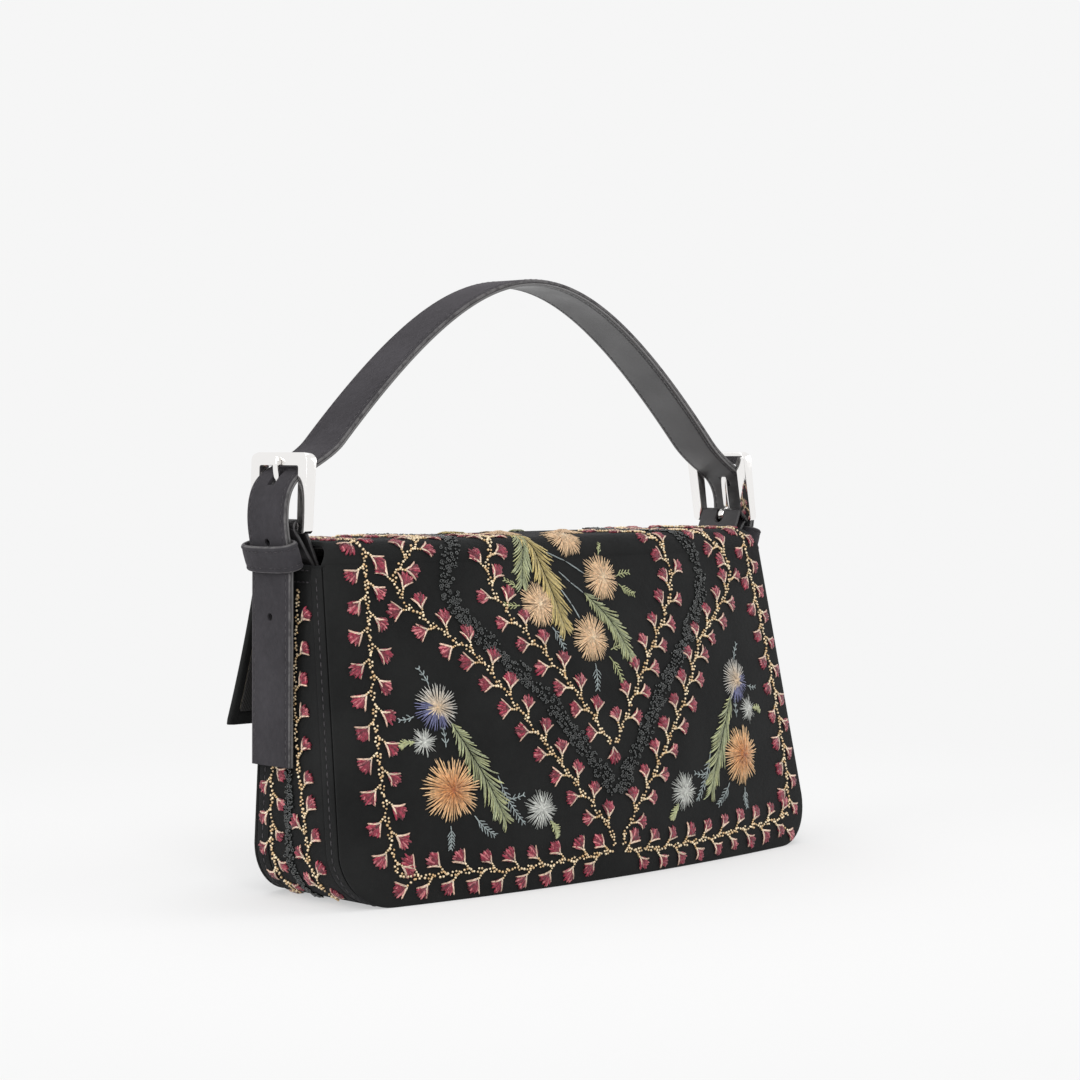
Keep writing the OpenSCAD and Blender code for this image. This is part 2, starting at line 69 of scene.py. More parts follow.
# Sizes of the body, as in the part's source
BODY_LENGTH, BODY_HEIGHT, BASE_DEPTH = 264.0, 137.0, 56.4
END_LEAN, BACK_LEAN, FRONT_LEAN = 0.071, 0.175, 0.02
CORNER_R, EDGE_SWELL, BACK_SWELL, FRONT_SWELL = 20.0, 12.0, 7.0, 3.0
PANEL_T, GUSSET_T, SEAM_T, SEAM_W, LINING_T = 1.8, 1.8, 1.2, 7.0, 0.8
PANEL_RIM = PANEL_T * 0.45  # how far the face of a panel stops short of its rim
HEM_Z, LINING_TOP, FRONT_TOP = 128.0, 127.8, 129.0
HOLLOW = 0.5  # of the gusset's middle at the ends
SEAT_GAP, SOFT_GAP = 0.15, 0.3
# Sizes of the flap
FLAP_HALF_TOP, FLAP_HALF_LIP, LIP_Z, FOLD_R = 118.2, 123.0, 64.0, 7.0
FLAP_SUEDE_T, FLAP_BOARD_T, FLAP_OFF_FRONT = 1.2, 0.7, 10.2
FLAP_SKIN = FLAP_SUEDE_T + FLAP_BOARD_T
END_FLARE, FLAP_BOW = 14.6, 5.5
ROLL_Z, ROLL_R, FOLD_Z = 128.3, 8.7, 130.0
HEM_ROOM, CLOTH_GAP = 0.85, 0.2  # how far the turned hem and the lining lie under the flap's skin
LEVEL_END = 32.0  # Y where shoulder and hanging part meet, behind the fold's axis
SNAP_Z, SNAP_STACK = 84.0, 7.35
# Sizes of the strap, buckles, tabs and keepers
CROWN_Z, STRAP_W, STRAP_T, CROWN_ROUND, STRAP_Y = 240.6, 23.3, 2.8, 95.0, 17.2
HEEL_X, HEEL_Z, HEEL_D, BUCKLE_RISE, TOP_BAR_H = 125.5, 142.6, 3.2, 25.9, 5.0
LEAN = {-1: math.radians(3), 1: math.radians(9)}
TAIL_Z, STRAP_CUT_X, BAR_ROOM = 51.0, 112.0, 1.8
ARCH_END = STRAP_CUT_X - 8  # X where the strap's ends take over from its arch
STITCH_INSET = 1.9  # of the strap's rows of stitching, from its edges
HOLE_R, HOLE_PITCH, HOLE_DROP = 1.5, 28.5, 6.0  # punched holes of the strap, the first so far under the heel bar
SLOT_LOW, SLOT_HIGH = (0.6, -2.05, 12.0), (5.8, 2.05, 24.0)  # slot for the prong, from the heel bar
TAB_SET_IN = 3.3  # of the tab's outer layer, from the line of the bag's end
TAB_LEATHER_T, TAB_W, TAB_DEPTH = 1.3, 22.6, 20.0
KEEPER_T, KEEPER_H, KEEPER_TIP, KEEPER_GAP = 1.3, 10.6, math.radians(18), 1.75
HEEL = np.array([HEEL_X, STRAP_Y, HEEL_Z])
KEEPER_AT = (4.5, 0.0, -11.1)  # the keeper's middle from the heel bar, on the right side
SIDE_NAME = {-1: "left", 1: "right"}


# ---- forms of the body ----
def half_length(z):
    """Half the length of the bag at a height: half the bottom length less the lean for each millimetre up."""
    return BODY_LENGTH / 2 - END_LEAN * z


ARC_X = half_length(CORNER_R) - CORNER_R
SIDE_RUN = (HEM_Z - CORNER_R) * math.hypot(1, END_LEAN)
ARC_RUN = CORNER_R * math.pi / 2


def inset_half(z, d):
    """Half length at a height and inset d: the leaning side above the corner, the corner's arc below it."""
    arc = ARC_X + np.sqrt(np.maximum(0, (CORNER_R - d) ** 2 - (CORNER_R - z) ** 2))
    return np.where(z >= CORNER_R, half_length(z) - d, arc)


def swell(x, z, extra):
    """Swell of a panel: a parabola over its length, fuller by `extra` at mid height."""
    return (1 - (x / half_length(z)) ** 2) * (EDGE_SWELL + extra * (1 - (2 * z / BODY_HEIGHT - 1) ** 2))


def back_y(x, z):
    """Outer face of the back: leaning plane less its swell."""
    return -BASE_DEPTH / 2 + BACK_LEAN * z - swell(x, z, BACK_SWELL)


def front_y(x, z):
    """Outer face of the front: leaning plane plus its swell."""
    return BASE_DEPTH / 2 + FRONT_LEAN * z + swell(x, z, FRONT_SWELL)


def softness(x, z):
    """Slow dips of stretched suede, a third of a millimetre deep: crossed sines that die out at the edges."""
    fade = np.clip(1 - (x / half_length(z)) ** 2, 0, 1) * np.clip(np.sin(np.pi * np.clip(z / ROLL_Z, 0, 1)), 0, 1)
    return 0.35 * fade * (np.sin(x / 19 + 1.3) * np.sin(z / 14 + 0.4) + 0.6 * np.sin(x / 41 - z / 23))


FLAP_Y = float(front_y(half_length(FOLD_Z), FOLD_Z)) + FLAP_OFF_FRONT


def flap_fall(z):
    """Share of the way down from the fold to the lip."""
    return (FOLD_Z - z) / (FOLD_Z - LIP_Z)


def mid_fall(z):
    """The same for the middle line, which moves out early: the share times 2.4 less the share, over 1.4."""
    return flap_fall(z) * (2.4 - flap_fall(z)) / 1.4


MID_FLARE = (float(front_y(0.0, SNAP_Z)) + SNAP_STACK - FLAP_Y - FLAP_BOW) / mid_fall(SNAP_Z)


def flap_y(u, z):
    """Outer face of the hanging flap: the end line flares with the fall, the middle line settles on the snap,
    and a parabola over u joins them."""
    fall = flap_fall(z)
    end = FLAP_Y + END_FLARE * (0.65 * fall + 0.35 * fall**2)
    middle = FLAP_Y + FLAP_BOW + MID_FLARE * mid_fall(z)
    return end + (middle - end) * (1 - u * u)


def flap_half(z):
    """Half the length of the flap: its top's, widening evenly to its lip's."""
    return FLAP_HALF_TOP + (FLAP_HALF_LIP - FLAP_HALF_TOP) * np.clip(flap_fall(z), 0, 2)


def stack(*parts):
    """Points from three coordinate arrays of any matching shapes."""
    return np.stack(np.broadcast_arrays(*parts), -1).astype(float)


def back_chart(x, s, d=0.0):
    """Back and shoulder as one hide: s is height up the panel, then the run over the roll and along the top.
    d is the depth below the outer face."""
    z = np.minimum(s, ROLL_Z)
    wall = stack(x, back_y(x, z) - softness(x, z) + d, z)
    turn = np.clip((s - ROLL_Z) / ROLL_R, 0, np.pi / 2)
    half = FLAP_HALF_TOP + (half_length(ROLL_Z) - FLAP_HALF_TOP) * (1 - np.sin(turn))
    start = back_y(np.clip(x / half, -1, 1) * half_length(ROLL_Z), ROLL_Z) + ROLL_R
    level = np.maximum(0, s - ROLL_Z - ROLL_R * np.pi / 2)
    top = stack(x, start - (ROLL_R - d) * np.cos(turn) + level, ROLL_Z + (ROLL_R - d) * np.sin(turn))
    return np.where((s < ROLL_Z)[..., None], wall, top)


def flap_chart(x, h, d=0.0):
    """Hanging flap as one hide: h is height above the lip, then the run over the fold and back along the top."""
    drop = FOLD_Z - LIP_Z
    z = np.minimum(LIP_Z + h, FOLD_Z)
    wall = stack(x, flap_y(np.clip(x / flap_half(z), -1, 1), z) - d, z)
    turn = np.clip((h - drop) / FOLD_R, 0, np.pi / 2)
    level = np.maximum(0, h - drop - FOLD_R * np.pi / 2)
    y = flap_y(np.clip(x / FLAP_HALF_TOP, -1, 1), FOLD_Z) - FOLD_R
    top = stack(x, y + (FOLD_R - d) * np.cos(turn) - level, FOLD_Z + (FOLD_R - d) * np.sin(turn))
    return np.where((h < drop)[..., None], wall, top)


def outline(run, d):
    """Outline of an end and half the bottom by its run down from the hem, at inset d: side, quarter arc, bottom."""
    side = np.clip(run, 0, SIDE_RUN) / SIDE_RUN
    z = HEM_Z + (CORNER_R - HEM_Z) * side
    turn = np.clip((run - SIDE_RUN) / CORNER_R, 0, np.pi / 2)
    flat = np.maximum(0, run - SIDE_RUN - ARC_RUN)
    x_arc = ARC_X + (CORNER_R - d) * np.cos(turn) - flat
    z_arc = CORNER_R - (CORNER_R - d) * np.sin(turn)
    above = run <= SIDE_RUN
    return np.where(above, half_length(z) - d, x_arc), np.where(above, z, z_arc)


def smooth(t):
    """Smooth step: three times the square less twice the cube of a value kept between 0 and 1."""
    t = np.clip(t, 0, 1)
    return t * t * (3 - 2 * t)


def gusset_inset(run):
    """The gusset lies under the seam strips at the ends, and comes level with them along the bottom."""
    return 0.5 * (1 - smooth((run - SIDE_RUN) / ARC_RUN))


def lining_inset(z):
    """Inset of the lining from the ends: behind the gusset, and 1.7 mm further in behind the tabs."""
    return 5.6 + 1.7 * smooth((z - HEM_Z + TAB_DEPTH + 28) / 16)


def band_edges(x, z):
    """Back and front edges of the gusset in Y at a point of the outline."""
    return back_y(x, z) + PANEL_T + SEAT_GAP, front_y(x, z) - PANEL_T - SEAT_GAP


def gusset_chart(side):
    """Chart of one end: a is the distance from the band's middle line, s runs up, nothing at the hem."""

    def chart(a, s, d=0.0):
        x, z = outline(-s, gusset_inset(-s) + d)
        low, high = band_edges(x, z)
        return stack(side * x, (low + high) / 2 + a, z)

    return chart


# ---- meshes ----
def grid_quads(nu, nv, wrap_u=False, wrap_v=False, base=0):
    """Quads of a grid whose point (i, j) is i * nv + j. Faces look along the u step crossed with the v step."""
    i, j = np.meshgrid(np.arange(nu - (not wrap_u)), np.arange(nv - (not wrap_v)), indexing="ij")
    i2, j2 = (i + 1) % nu, (j + 1) % nv
    return base + np.stack([i * nv + j, i2 * nv + j, i2 * nv + j2, i * nv + j2], -1).reshape(-1, 4)


def tube_faces(n, k):
    """Faces of an open tube of n rings of k points, with a cap on each end."""
    return [grid_quads(n, k, wrap_v=True), [list(range(k))[::-1]], [list(range((n - 1) * k, n * k))]]


def unit(v):
    """Vectors brought to length one."""
    return v / np.maximum(np.linalg.norm(v, axis=-1, keepdims=True), 1e-12)


def run_along(path):
    """Length run along a path at each of its points: the sum of its steps."""
    return np.concatenate([[0], np.cumsum(np.linalg.norm(np.diff(path, axis=0), axis=1))])


def at_run(wanted, run, values):
    """Values at the wanted runs, straight between those known along a path."""
    return np.stack([np.interp(wanted, run, values[:, k]) for k in range(values.shape[1])], -1)


def signed_power(v, power):
    """A power of the size of a value, with its sign: below one it squares a circle off."""
    return np.sign(v) * np.abs(v) ** power


def leaned(points, angle):
    """Points turned from X towards Z by an angle."""
    c, s = math.cos(angle), math.sin(angle)
    return stack(points[..., 0] * c - points[..., 2] * s, points[..., 1], points[..., 0] * s + points[..., 2] * c)


def at_heel(points, side, offset=(0.0, 0.0, 0.0)):
    """Points given from the heel bar of the right buckle, set on one side of the bag."""
    return (points + (HEEL + offset)) * [side, 1, 1]


def new_object(name, points, faces, uv=None, tint=None):
    """Object from points in millimetres and lists of faces, with a value of uv and tint for each point."""
    mesh = bpy.data.meshes.new(name)
    mesh.from_pydata((np.asarray(points) * MM).tolist(), [], [f for block in faces for f in np.asarray(block).tolist()])
    mesh.polygons.foreach_set("use_smooth", np.ones(len(mesh.polygons), bool))
    loops = np.zeros(len(mesh.loops), np.int32)
    mesh.loops.foreach_get("vertex_index", loops)
    if uv is not None:
        mesh.uv_layers.new(name="surface").data.foreach_set("uv", np.asarray(uv, np.float32)[loops].ravel())
    if tint is not None:
        colour = np.concatenate([tint, np.ones((len(tint), 1))], 1).astype(np.float32)
        mesh.color_attributes.new("tint", "FLOAT_COLOR", "POINT").data.foreach_set("color", colour.ravel())
    obj = bpy.data.objects.new(name, mesh)
    bpy.context.scene.collection.objects.link(obj)
    return obj


def settle(obj, sharp=None):
    """Applies the modifiers of an object to its mesh. sharp is the angle in degrees past which an edge stays crisp."""
    mesh = bpy.data.meshes.new_from_object(obj.evaluated_get(bpy.context.evaluated_depsgraph_get()))
    obj.modifiers.clear()
    old, obj.data = obj.data, mesh
    bpy.data.meshes.remove(old)
    mesh.name = obj.name
    mesh.polygons.foreach_set("use_smooth", np.ones(len(mesh.polygons), bool))
    if sharp:
        mesh.set_sharp_from_angle(angle=math.radians(sharp))
    return obj


def place(obj, material, body=None, blend=None, slot=None, stands_for=()):
    """Gives a piece its material and its body, bakes its transform into its mesh where a fold is given, and hides the
    nodes it stands for; slot is not used.
    """
    obj.data.materials.clear()
    obj.data.materials.append(material)
    if body:
        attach(obj, body)
    if blend:
        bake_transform(obj)
    if stands_for:
        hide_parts(*stands_for)
    return obj


def slab(outer, inner, bulge=1.0, steps=5):
    """Closed sheet between two grids of the same shape, whose rim is a half round from one border to the other:
    middle of the wall plus half the wall turned by an angle, pushed out in the plane of the sheet."""
    nu, nv = outer.shape[:2]
    ring = np.concatenate([np.arange(nu) * nv, (nu - 1) * nv + np.arange(1, nv),
                           np.arange(nu - 2, -1, -1) * nv + nv - 1, np.arange(nv - 2, 0, -1)])
    flat_out, flat_in = outer.reshape(-1, 3), inner.reshape(-1, 3)
    edge_out, edge_in = flat_out[ring], flat_in[ring]
    wall = (edge_out - edge_in) / 2
    away = unit(np.cross(np.roll(edge_out, -1, 0) - np.roll(edge_out, 1, 0), wall))
    half = np.linalg.norm(wall, axis=1, keepdims=True)
    turns = np.pi * np.arange(1, steps) / steps
    rim = [(edge_out + edge_in) / 2 + wall * math.cos(a) + away * half * bulge * math.sin(a) for a in turns]
    n, m = nu * nv, len(ring)
    rows = [ring] + [2 * n + k * m + np.arange(m) for k in range(steps - 1)] + [n + ring]
    faces = [grid_quads(nu, nv), n + grid_quads(nu, nv)[:, ::-1]]
    for a, b in zip(rows, rows[1:]):
        faces.append(np.stack([a, b, np.roll(b, -1), np.roll(a, -1)], -1))
    return np.concatenate([flat_out, flat_in] + rim), faces


def sheet_piece(name, outer, inner, flip=False, bulge=1.0, **kind):
    """A slab as a piece; flip turns a mirrored or left-handed grid the right way out."""
    if flip:
        outer, inner = outer[::-1], inner[::-1]
    return place(new_object(name, *slab(outer, inner, bulge)), **kind)


def along(points, step):
    """Points at an even step along a smooth curve through the given ones, with the run at each: cubic between
    points by their neighbours' slopes, measured, then resampled."""
    p = np.asarray(points, float)
    ext = np.concatenate([2 * p[:1] - p[1:2], p, 2 * p[-1:] - p[-2:-1]])
    t = np.linspace(0, 1, 25)[:-1, None]
    pieces = []
    for a, b, c, d in zip(ext[:-3], ext[1:-2], ext[2:-1], ext[3:]):
        pieces.append(b + 0.5 * t * (c - a + t * (2 * a - 5 * b + 4 * c - d + t * (3 * (b - c) + d - a))))
    fine = np.concatenate(pieces + [p[-1:]])
    run = run_along(fine)
    even = np.linspace(0, run[-1], max(2, int(round(run[-1] / step)) + 1))
    return at_run(even, run, fine), even


def carried(path, side, up, profile, closed=False):
    """A profile of points along `side` and `up`, carried along a path. Ends of an open path get caps."""
    n, k = len(path), len(profile)
    points = path[:, None] + profile[None, :, :1] * side[:, None] + profile[None, :, 1:] * up[:, None]
    faces = [grid_quads(n, k, True, True)] if closed else tube_faces(n, k)
    return points.reshape(-1, 3), faces


STROKE_AT = np.array([0, 0.08, 0.35, 0.65, 0.91, 1.0])  # shares of a stroke at which it is measured
STROKE_SWELL = np.array([0.0, 0.8, 1.0, 1.0, 0.78, 0.0])  # share of its full width there


def strokes(name, path, normal, width, thick, tint=None):
    """Stitches and threads as small closed forms: along each path of points the outline is an ellipse that starts
    and ends at nothing. Widths and tints have a value for each stroke, and the tint runs from its start to its end."""
    count, steps = path.shape[:2]
    around = 6
    run = unit(np.gradient(path, axis=1))
    side = unit(np.cross(normal, run))
    angle = 2 * np.pi * np.arange(around) / around
    w = (width[:, None] / 2 * STROKE_SWELL)[:, 1:-1, None, None]
    t = (thick[:, None] / 2 * STROKE_SWELL)[:, 1:-1, None, None]
    ring = path[:, 1:-1, None] + side[:, 1:-1, None] * w * np.cos(angle)[None, None, :, None] \
        + normal[:, 1:-1, None] * t * np.sin(angle)[None, None, :, None]
    inner = steps - 2
    points = np.concatenate([path[:, :1], ring.reshape(count, inner * around, 3), path[:, -1:]], 1)
    size = points.shape[1]
    body = 1 + grid_quads(inner, around, wrap_v=True)
    j = np.arange(around)
    first = np.stack([np.zeros(around, int), 1 + j, 1 + (j + 1) % around], -1)
    last = np.stack([np.full(around, size - 1), 1 + (inner - 1) * around + (j + 1) % around,
                     1 + (inner - 1) * around + j], -1)
    start = (np.arange(count) * size)[:, None, None]
    faces = [(start + block[None]).reshape(-1, block.shape[1]) for block in (body, first, last)]
    share = np.concatenate([[0], np.repeat(STROKE_AT[1:-1], around), [1]])
    across = np.concatenate([[0.5], np.tile(j / around, inner), [0.5]])
    uv = np.stack([np.tile(share, count), np.tile(across, count)], -1)
    shade = None
    if tint is not None:
        to_end = share[None, :, None]
        shade = (tint[:, None, :3] * (1 - to_end) + tint[:, None, 3:] * to_end).reshape(-1, 3)
    return new_object(name, points.reshape(-1, 3), faces, uv, shade)


def bead_form(around, rows, hole=0.0):
    """Unit bead: a ball of rings, or a ring with a hole whose profile is a circle."""
    angle = 2 * np.pi * np.arange(around) / around
    if hole:
        tube = 2 * np.pi * np.arange(rows) / rows
        r = 1 - hole + hole * np.cos(tube)
        points = stack(r[None] * np.cos(angle)[:, None], r[None] * np.sin(angle)[:, None], (hole * np.sin(tube))[None])
        return points.reshape(-1, 3), [grid_quads(around, rows, True, True)]
    lat = np.pi * np.arange(1, rows) / rows
    ring = stack(np.sin(lat)[:, None] * np.cos(angle), np.sin(lat)[:, None] * np.sin(angle), np.cos(lat)[:, None])
    points = np.concatenate([[[0, 0, 1]], ring.reshape(-1, 3), [[0, 0, -1]]])
    j = np.arange(around)
    last = 1 + (rows - 2) * around
    return points, [1 + grid_quads(rows - 1, around, wrap_v=True),
                    np.stack([np.zeros(around, int), 1 + j, 1 + (j + 1) % around], -1),
                    np.stack([np.full(around, last + around), last + (j + 1) % around, last + j], -1)]


def beads(name, form, centre, axes, size, tint):
    """A bead form set at each centre, turned to its three axes and scaled to its size."""
    points, faces = form
    placed = centre[:, None] + np.einsum("pk,nkc->npc", points, axes) * size[:, None, None]
    start = (np.arange(len(centre)) * len(points))[:, None, None]
    blocks = [(start + np.asarray(f)[None]).reshape(-1, np.asarray(f).shape[1]) for f in faces]
    return new_object(name, placed.reshape(-1, 3), blocks, None, np.repeat(tint, len(points), 0))


# ---- finishes ----
def grey(r, g=None, b=None):
    """Colour with its alpha, grey unless green and blue are given."""
    return (r, r if g is None else g, r if b is None else b, 1)


def put(tree, kind, values=None, **settings):
    """Adds a shader node, with its settings, and links or sets its inputs."""
    n = tree.nodes.new(kind)
    for key, value in settings.items():
        setattr(n, key, value)
    for key, value in (values or {}).items():
        if isinstance(value, bpy.types.NodeSocket):
            tree.links.new(value, n.inputs[key])
        else:
            n.inputs[key].default_value = value
    return n


def group(name, inputs, outputs):
    """Empty shader group with named inputs, each with its type and value, and named outputs."""
    tree = bpy.data.node_groups.new(name, "ShaderNodeTree")
    for key, (kind, value) in inputs.items():
        socket = tree.interface.new_socket(key, in_out="INPUT", socket_type="NodeSocket" + kind)
        if value is not None:
            socket.default_value = value
    for key, kind in outputs.items():
        tree.interface.new_socket(key, in_out="OUTPUT", socket_type="NodeSocket" + kind)
    return tree, tree.nodes.new("NodeGroupInput"), tree.nodes.new("NodeGroupOutput")


def finish_group(tree, out, **results):
    """Links what a group works out to its outputs."""
    for key, socket in results.items():
        tree.links.new(socket, out.inputs[key])
    return tree


def mix(tree, share, a, b, kind="MIX"):
    """Colour between two by a share, or one laid on the other in another kind of blend."""
    n = tree.nodes.new("ShaderNodeMix")
    n.data_type, n.blend_type = "RGBA", kind
    for socket, value in zip((n.inputs[0], n.inputs[6], n.inputs[7]), (share, a, b)):
        if isinstance(value, bpy.types.NodeSocket):
            tree.links.new(value, socket)
        else:
            socket.default_value = value
    return n.outputs[2]


def calc(tree, kind, a, b=0.5, clamp=False):
    """One step of arithmetic on values or sockets."""
    n = put(tree, "ShaderNodeMath", {0: a, 1: b}, operation=kind)
    n.use_clamp = clamp
    return n.outputs[0]


def times(tree, a, b, clamp=False):
    """Product of two values or sockets."""
    return calc(tree, "MULTIPLY", a, b, clamp)


def spread(tree, value, low, high, to_low=0.0, to_high=1.0):
    """A value moved from one range to another, and kept within it."""
    return put(tree, "ShaderNodeMapRange", {0: value, 1: low, 2: high, 3: to_low, 4: to_high}).outputs[0]


def noise(tree, vector, scale, detail=3.0, rough=0.55):
    """Layered noise with so many cells in a metre."""
    given = {"Vector": vector, "Scale": scale, "Detail": detail, "Roughness": rough}
    return put(tree, "ShaderNodeTexNoise", given).outputs[0]


def own_place(tree):
    """Place of a point in the piece's own frame, in metres."""
    return put(tree, "ShaderNodeTexCoord").outputs["Object"]


def relief(tree, height, strength, distance):
    """Normal of fine relief from a height."""
    return put(tree, "ShaderNodeBump", {"Strength": strength, "Distance": distance, "Height": height}).outputs[0]


SURFACE = {"Colour": "Color", "Roughness": "Float", "Normal": "Vector"}


def worn_edge(tree, mottle):
    """Share of rubbing on cut edges: the mesh's own worn value, broken up by the mottling."""
    worn = put(tree, "ShaderNodeAttribute", attribute_name="worn").outputs["Fac"]
    return times(tree, worn, spread(tree, mottle, 0.1, 0.6, 0.35, 1.0), True)


def nap_group():
    """Suede: brushed patches a few centimetres across, mottling of a few millimetres, and a fibre as fine bump."""
    tree, given, out = group("suede_nap", {"Colour": ("Color", grey(0.02)), "Brushed": ("Color", grey(0.04)),
                                           "Depth": ("Float", 0.3)}, SURFACE)
    at = own_place(tree)
    patches = spread(tree, noise(tree, at, 34.0, 4.0), 0.38, 0.66)
    mottle = spread(tree, noise(tree, at, 420.0, 3.0), 0.3, 0.75)
    fibre = noise(tree, at, 2600.0, 2.0, 0.7)
    share = calc(tree, "ADD", times(tree, patches, 0.5), times(tree, mottle, 0.4), True)
    colour = mix(tree, share, given.outputs["Colour"], given.outputs["Brushed"])
    colour = mix(tree, worn_edge(tree, mottle), colour, grey(0.17, 0.165, 0.165))
    height = calc(tree, "ADD", fibre, times(tree, mottle, 0.6))
    return finish_group(tree, out, Colour=colour, Roughness=spread(tree, mottle, 0, 1, 0.86, 0.98),
                        Normal=relief(tree, height, given.outputs["Depth"], 0.0004))


def grain_group():
    """Smooth leather: small pebbles parted by fine creases, a slow change of gloss and faint rubbing."""
    tree, given, out = group("leather_grain", {"Colour": ("Color", grey(0.03)), "Worn": ("Color", grey(0.08)),
                                               "Gloss": ("Float", 0.42), "Depth": ("Float", 0.25)}, SURFACE)
    at = own_place(tree)
    cells = put(tree, "ShaderNodeTexVoronoi", {"Vector": at, "Scale": 1300.0}, feature="DISTANCE_TO_EDGE").outputs[0]
    slow = noise(tree, at, 60.0, 3.0)
    rubbed = spread(tree, noise(tree, at, 240.0, 4.0, 0.65), 0.5, 0.8, 0.0, 0.35)
    colour = mix(tree, rubbed, given.outputs["Colour"], given.outputs["Worn"])
    colour = mix(tree, worn_edge(tree, slow), colour, grey(0.14, 0.135, 0.135))
    rough = calc(tree, "ADD", given.outputs["Gloss"], spread(tree, slow, 0.3, 0.7, -0.06, 0.08))
    height = calc(tree, "ADD", spread(tree, cells, 0.0, 0.25), times(tree, slow, 1.5))
    return finish_group(tree, out, Colour=colour, Roughness=rough,
                        Normal=relief(tree, height, given.outputs["Depth"], 0.00015))


def strand_group():
    """Thread: the stroke's own tint, lighter and darker strands across it as painted sheen on their crests and painted
    shade in the grooves between them, a random unevenness of tone, and their relief as bump.
    """
    tree, given, out = group("thread_strands", {"Strands": ("Float", 5.0), "Depth": ("Float", 0.6)}, SURFACE)
    tint = put(tree, "ShaderNodeVertexColor", layer_name="tint").outputs[0]
    uv = put(tree, "ShaderNodeSeparateXYZ", {0: put(tree, "ShaderNodeTexCoord").outputs["UV"]})
    twist = calc(tree, "ADD", times(tree, uv.outputs[1], given.outputs["Strands"]), times(tree, uv.outputs[0], 3.0))
    ridge = calc(tree, "SINE", times(tree, twist, 2 * math.pi), 0.0)
    uneven = spread(tree, noise(tree, own_place(tree), 900.0, 2.0), 0.3, 0.7, 0.72, 1.2)
    # painted sheen and shade: the tint is lightened on each strand's crest and darkened in the grooves by the ridge
    # that also makes the bump; uneven is the thread's own random tone
    shade = times(tree, uneven, spread(tree, ridge, -1, 1, 0.8, 1.08))
    shade = put(tree, "ShaderNodeCombineColor", {0: shade, 1: shade, 2: shade}).outputs[0]
    return finish_group(tree, out, Colour=mix(tree, 1.0, tint, shade, "MULTIPLY"),
                        Roughness=spread(tree, ridge, -1, 1, 0.62, 0.42),
                        Normal=relief(tree, ridge, given.outputs["Depth"], 0.0002))


def weave_group():
    """Twill lining: two crossed sets of threads whose steps run on the slant, with slubs in their colour, and painted
    highlight on the crests of the weave and painted shade in its grooves.
    """
    tree, given, out = group("twill_weave", {"Colour": ("Color", grey(0.02)), "Light": ("Color", grey(0.06)),
                                             "Pitch": ("Float", 1400.0)}, SURFACE)
    at = put(tree, "ShaderNodeSeparateXYZ", {0: own_place(tree)})
    run = calc(tree, "ADD", at.outputs[0], at.outputs[1])
    slant, cross = (calc(tree, "SINE", times(tree, calc(tree, way, run, at.outputs[2]), given.outputs["Pitch"]), 0.0)
                    for way in ("ADD", "SUBTRACT"))
    height = calc(tree, "ADD", slant, times(tree, cross, 0.4))
    slub = noise(tree, own_place(tree), 300.0)
    # painted highlight and shade: the colour goes towards the lighter one on the crests and the darker one in the
    # grooves, by the height of the bump; the slubs are the cloth's own uneven tone
    share = times(tree, spread(tree, height, -1.4, 1.4), spread(tree, slub, 0.3, 0.7, 0.4, 1.0))
    colour = mix(tree, share, given.outputs["Colour"], given.outputs["Light"])
    return finish_group(tree, out, Colour=colour, Roughness=spread(tree, slub, 0.3, 0.7, 0.7, 0.9),
                        Normal=relief(tree, height, 0.5, 0.0002))


def handled_group():
    """Plated metal: a slow change of roughness where fingers rest, and the faintest ripple from polishing."""
    tree, given, out = group("handled_metal", {"Polish": ("Float", 0.08)}, {"Roughness": "Float", "Normal": "Vector"})
    at = own_place(tree)
    smudge = spread(tree, noise(tree, at, 160.0, 4.0), 0.45, 0.75, 0.0, 0.09)
    ripple = noise(tree, at, 260.0, 1.0)
    return finish_group(tree, out, Roughness=calc(tree, "ADD", given.outputs["Polish"], smudge),
                        Normal=relief(tree, ripple, 0.05, 0.0003))


NAP, GRAIN, STRANDS, WEAVE, HANDLED = nap_group(), grain_group(), strand_group(), weave_group(), handled_group()


def finish_of(name, tree_group, given, **plain):
    """Material whose changing colour, roughness and relief come from a group, and whose even values are set plain."""
    mat = bpy.data.materials.new(name)
    mat.use_nodes = True
    tree = mat.node_tree
    shader = tree.nodes["Principled BSDF"]
    for key, value in plain.items():
        shader.inputs[key.replace("_", " ")].default_value = value
    effect = put(tree, "ShaderNodeGroup", node_tree=tree_group)
    for key, value in given.items():
        effect.inputs[key].default_value = value
    for source, target in (("Colour", "Base Color"), ("Roughness", "Roughness"), ("Normal", "Normal")):
        if source in effect.outputs:
            tree.links.new(effect.outputs[source], shader.inputs[target])
    return mat


SUEDE = finish_of("bag_suede", NAP, {"Colour": grey(0.009, 0.0093, 0.0092), "Brushed": grey(0.0185, 0.019, 0.0186),
                                     "Depth": 0.45},
                  Sheen_Weight=0.07, Sheen_Roughness=0.45, Sheen_Tint=grey(0.5, 0.5, 0.55), Specular_IOR_Level=0.15)
STRAP_SUEDE = finish_of("strap_suede", NAP, {"Colour": grey(0.027, 0.0255, 0.0285),
                                             "Brushed": grey(0.056, 0.053, 0.059), "Depth": 0.45},
                        Sheen_Weight=0.22, Sheen_Roughness=0.4, Sheen_Tint=grey(0.6, 0.55, 0.6),
                        Specular_IOR_Level=0.15)
LEATHER = finish_of("strap_leather", GRAIN, {"Colour": grey(0.044, 0.043, 0.045), "Worn": grey(0.075, 0.073, 0.075),
                                             "Gloss": 0.36, "Depth": 0.22}, Specular_IOR_Level=0.75)
EDGE_LEATHER = finish_of("tab_leather", GRAIN, {"Colour": grey(0.03, 0.028, 0.03), "Worn": grey(0.065, 0.06, 0.062),
                                                "Gloss": 0.45, "Depth": 0.35}, Specular_IOR_Level=0.5)
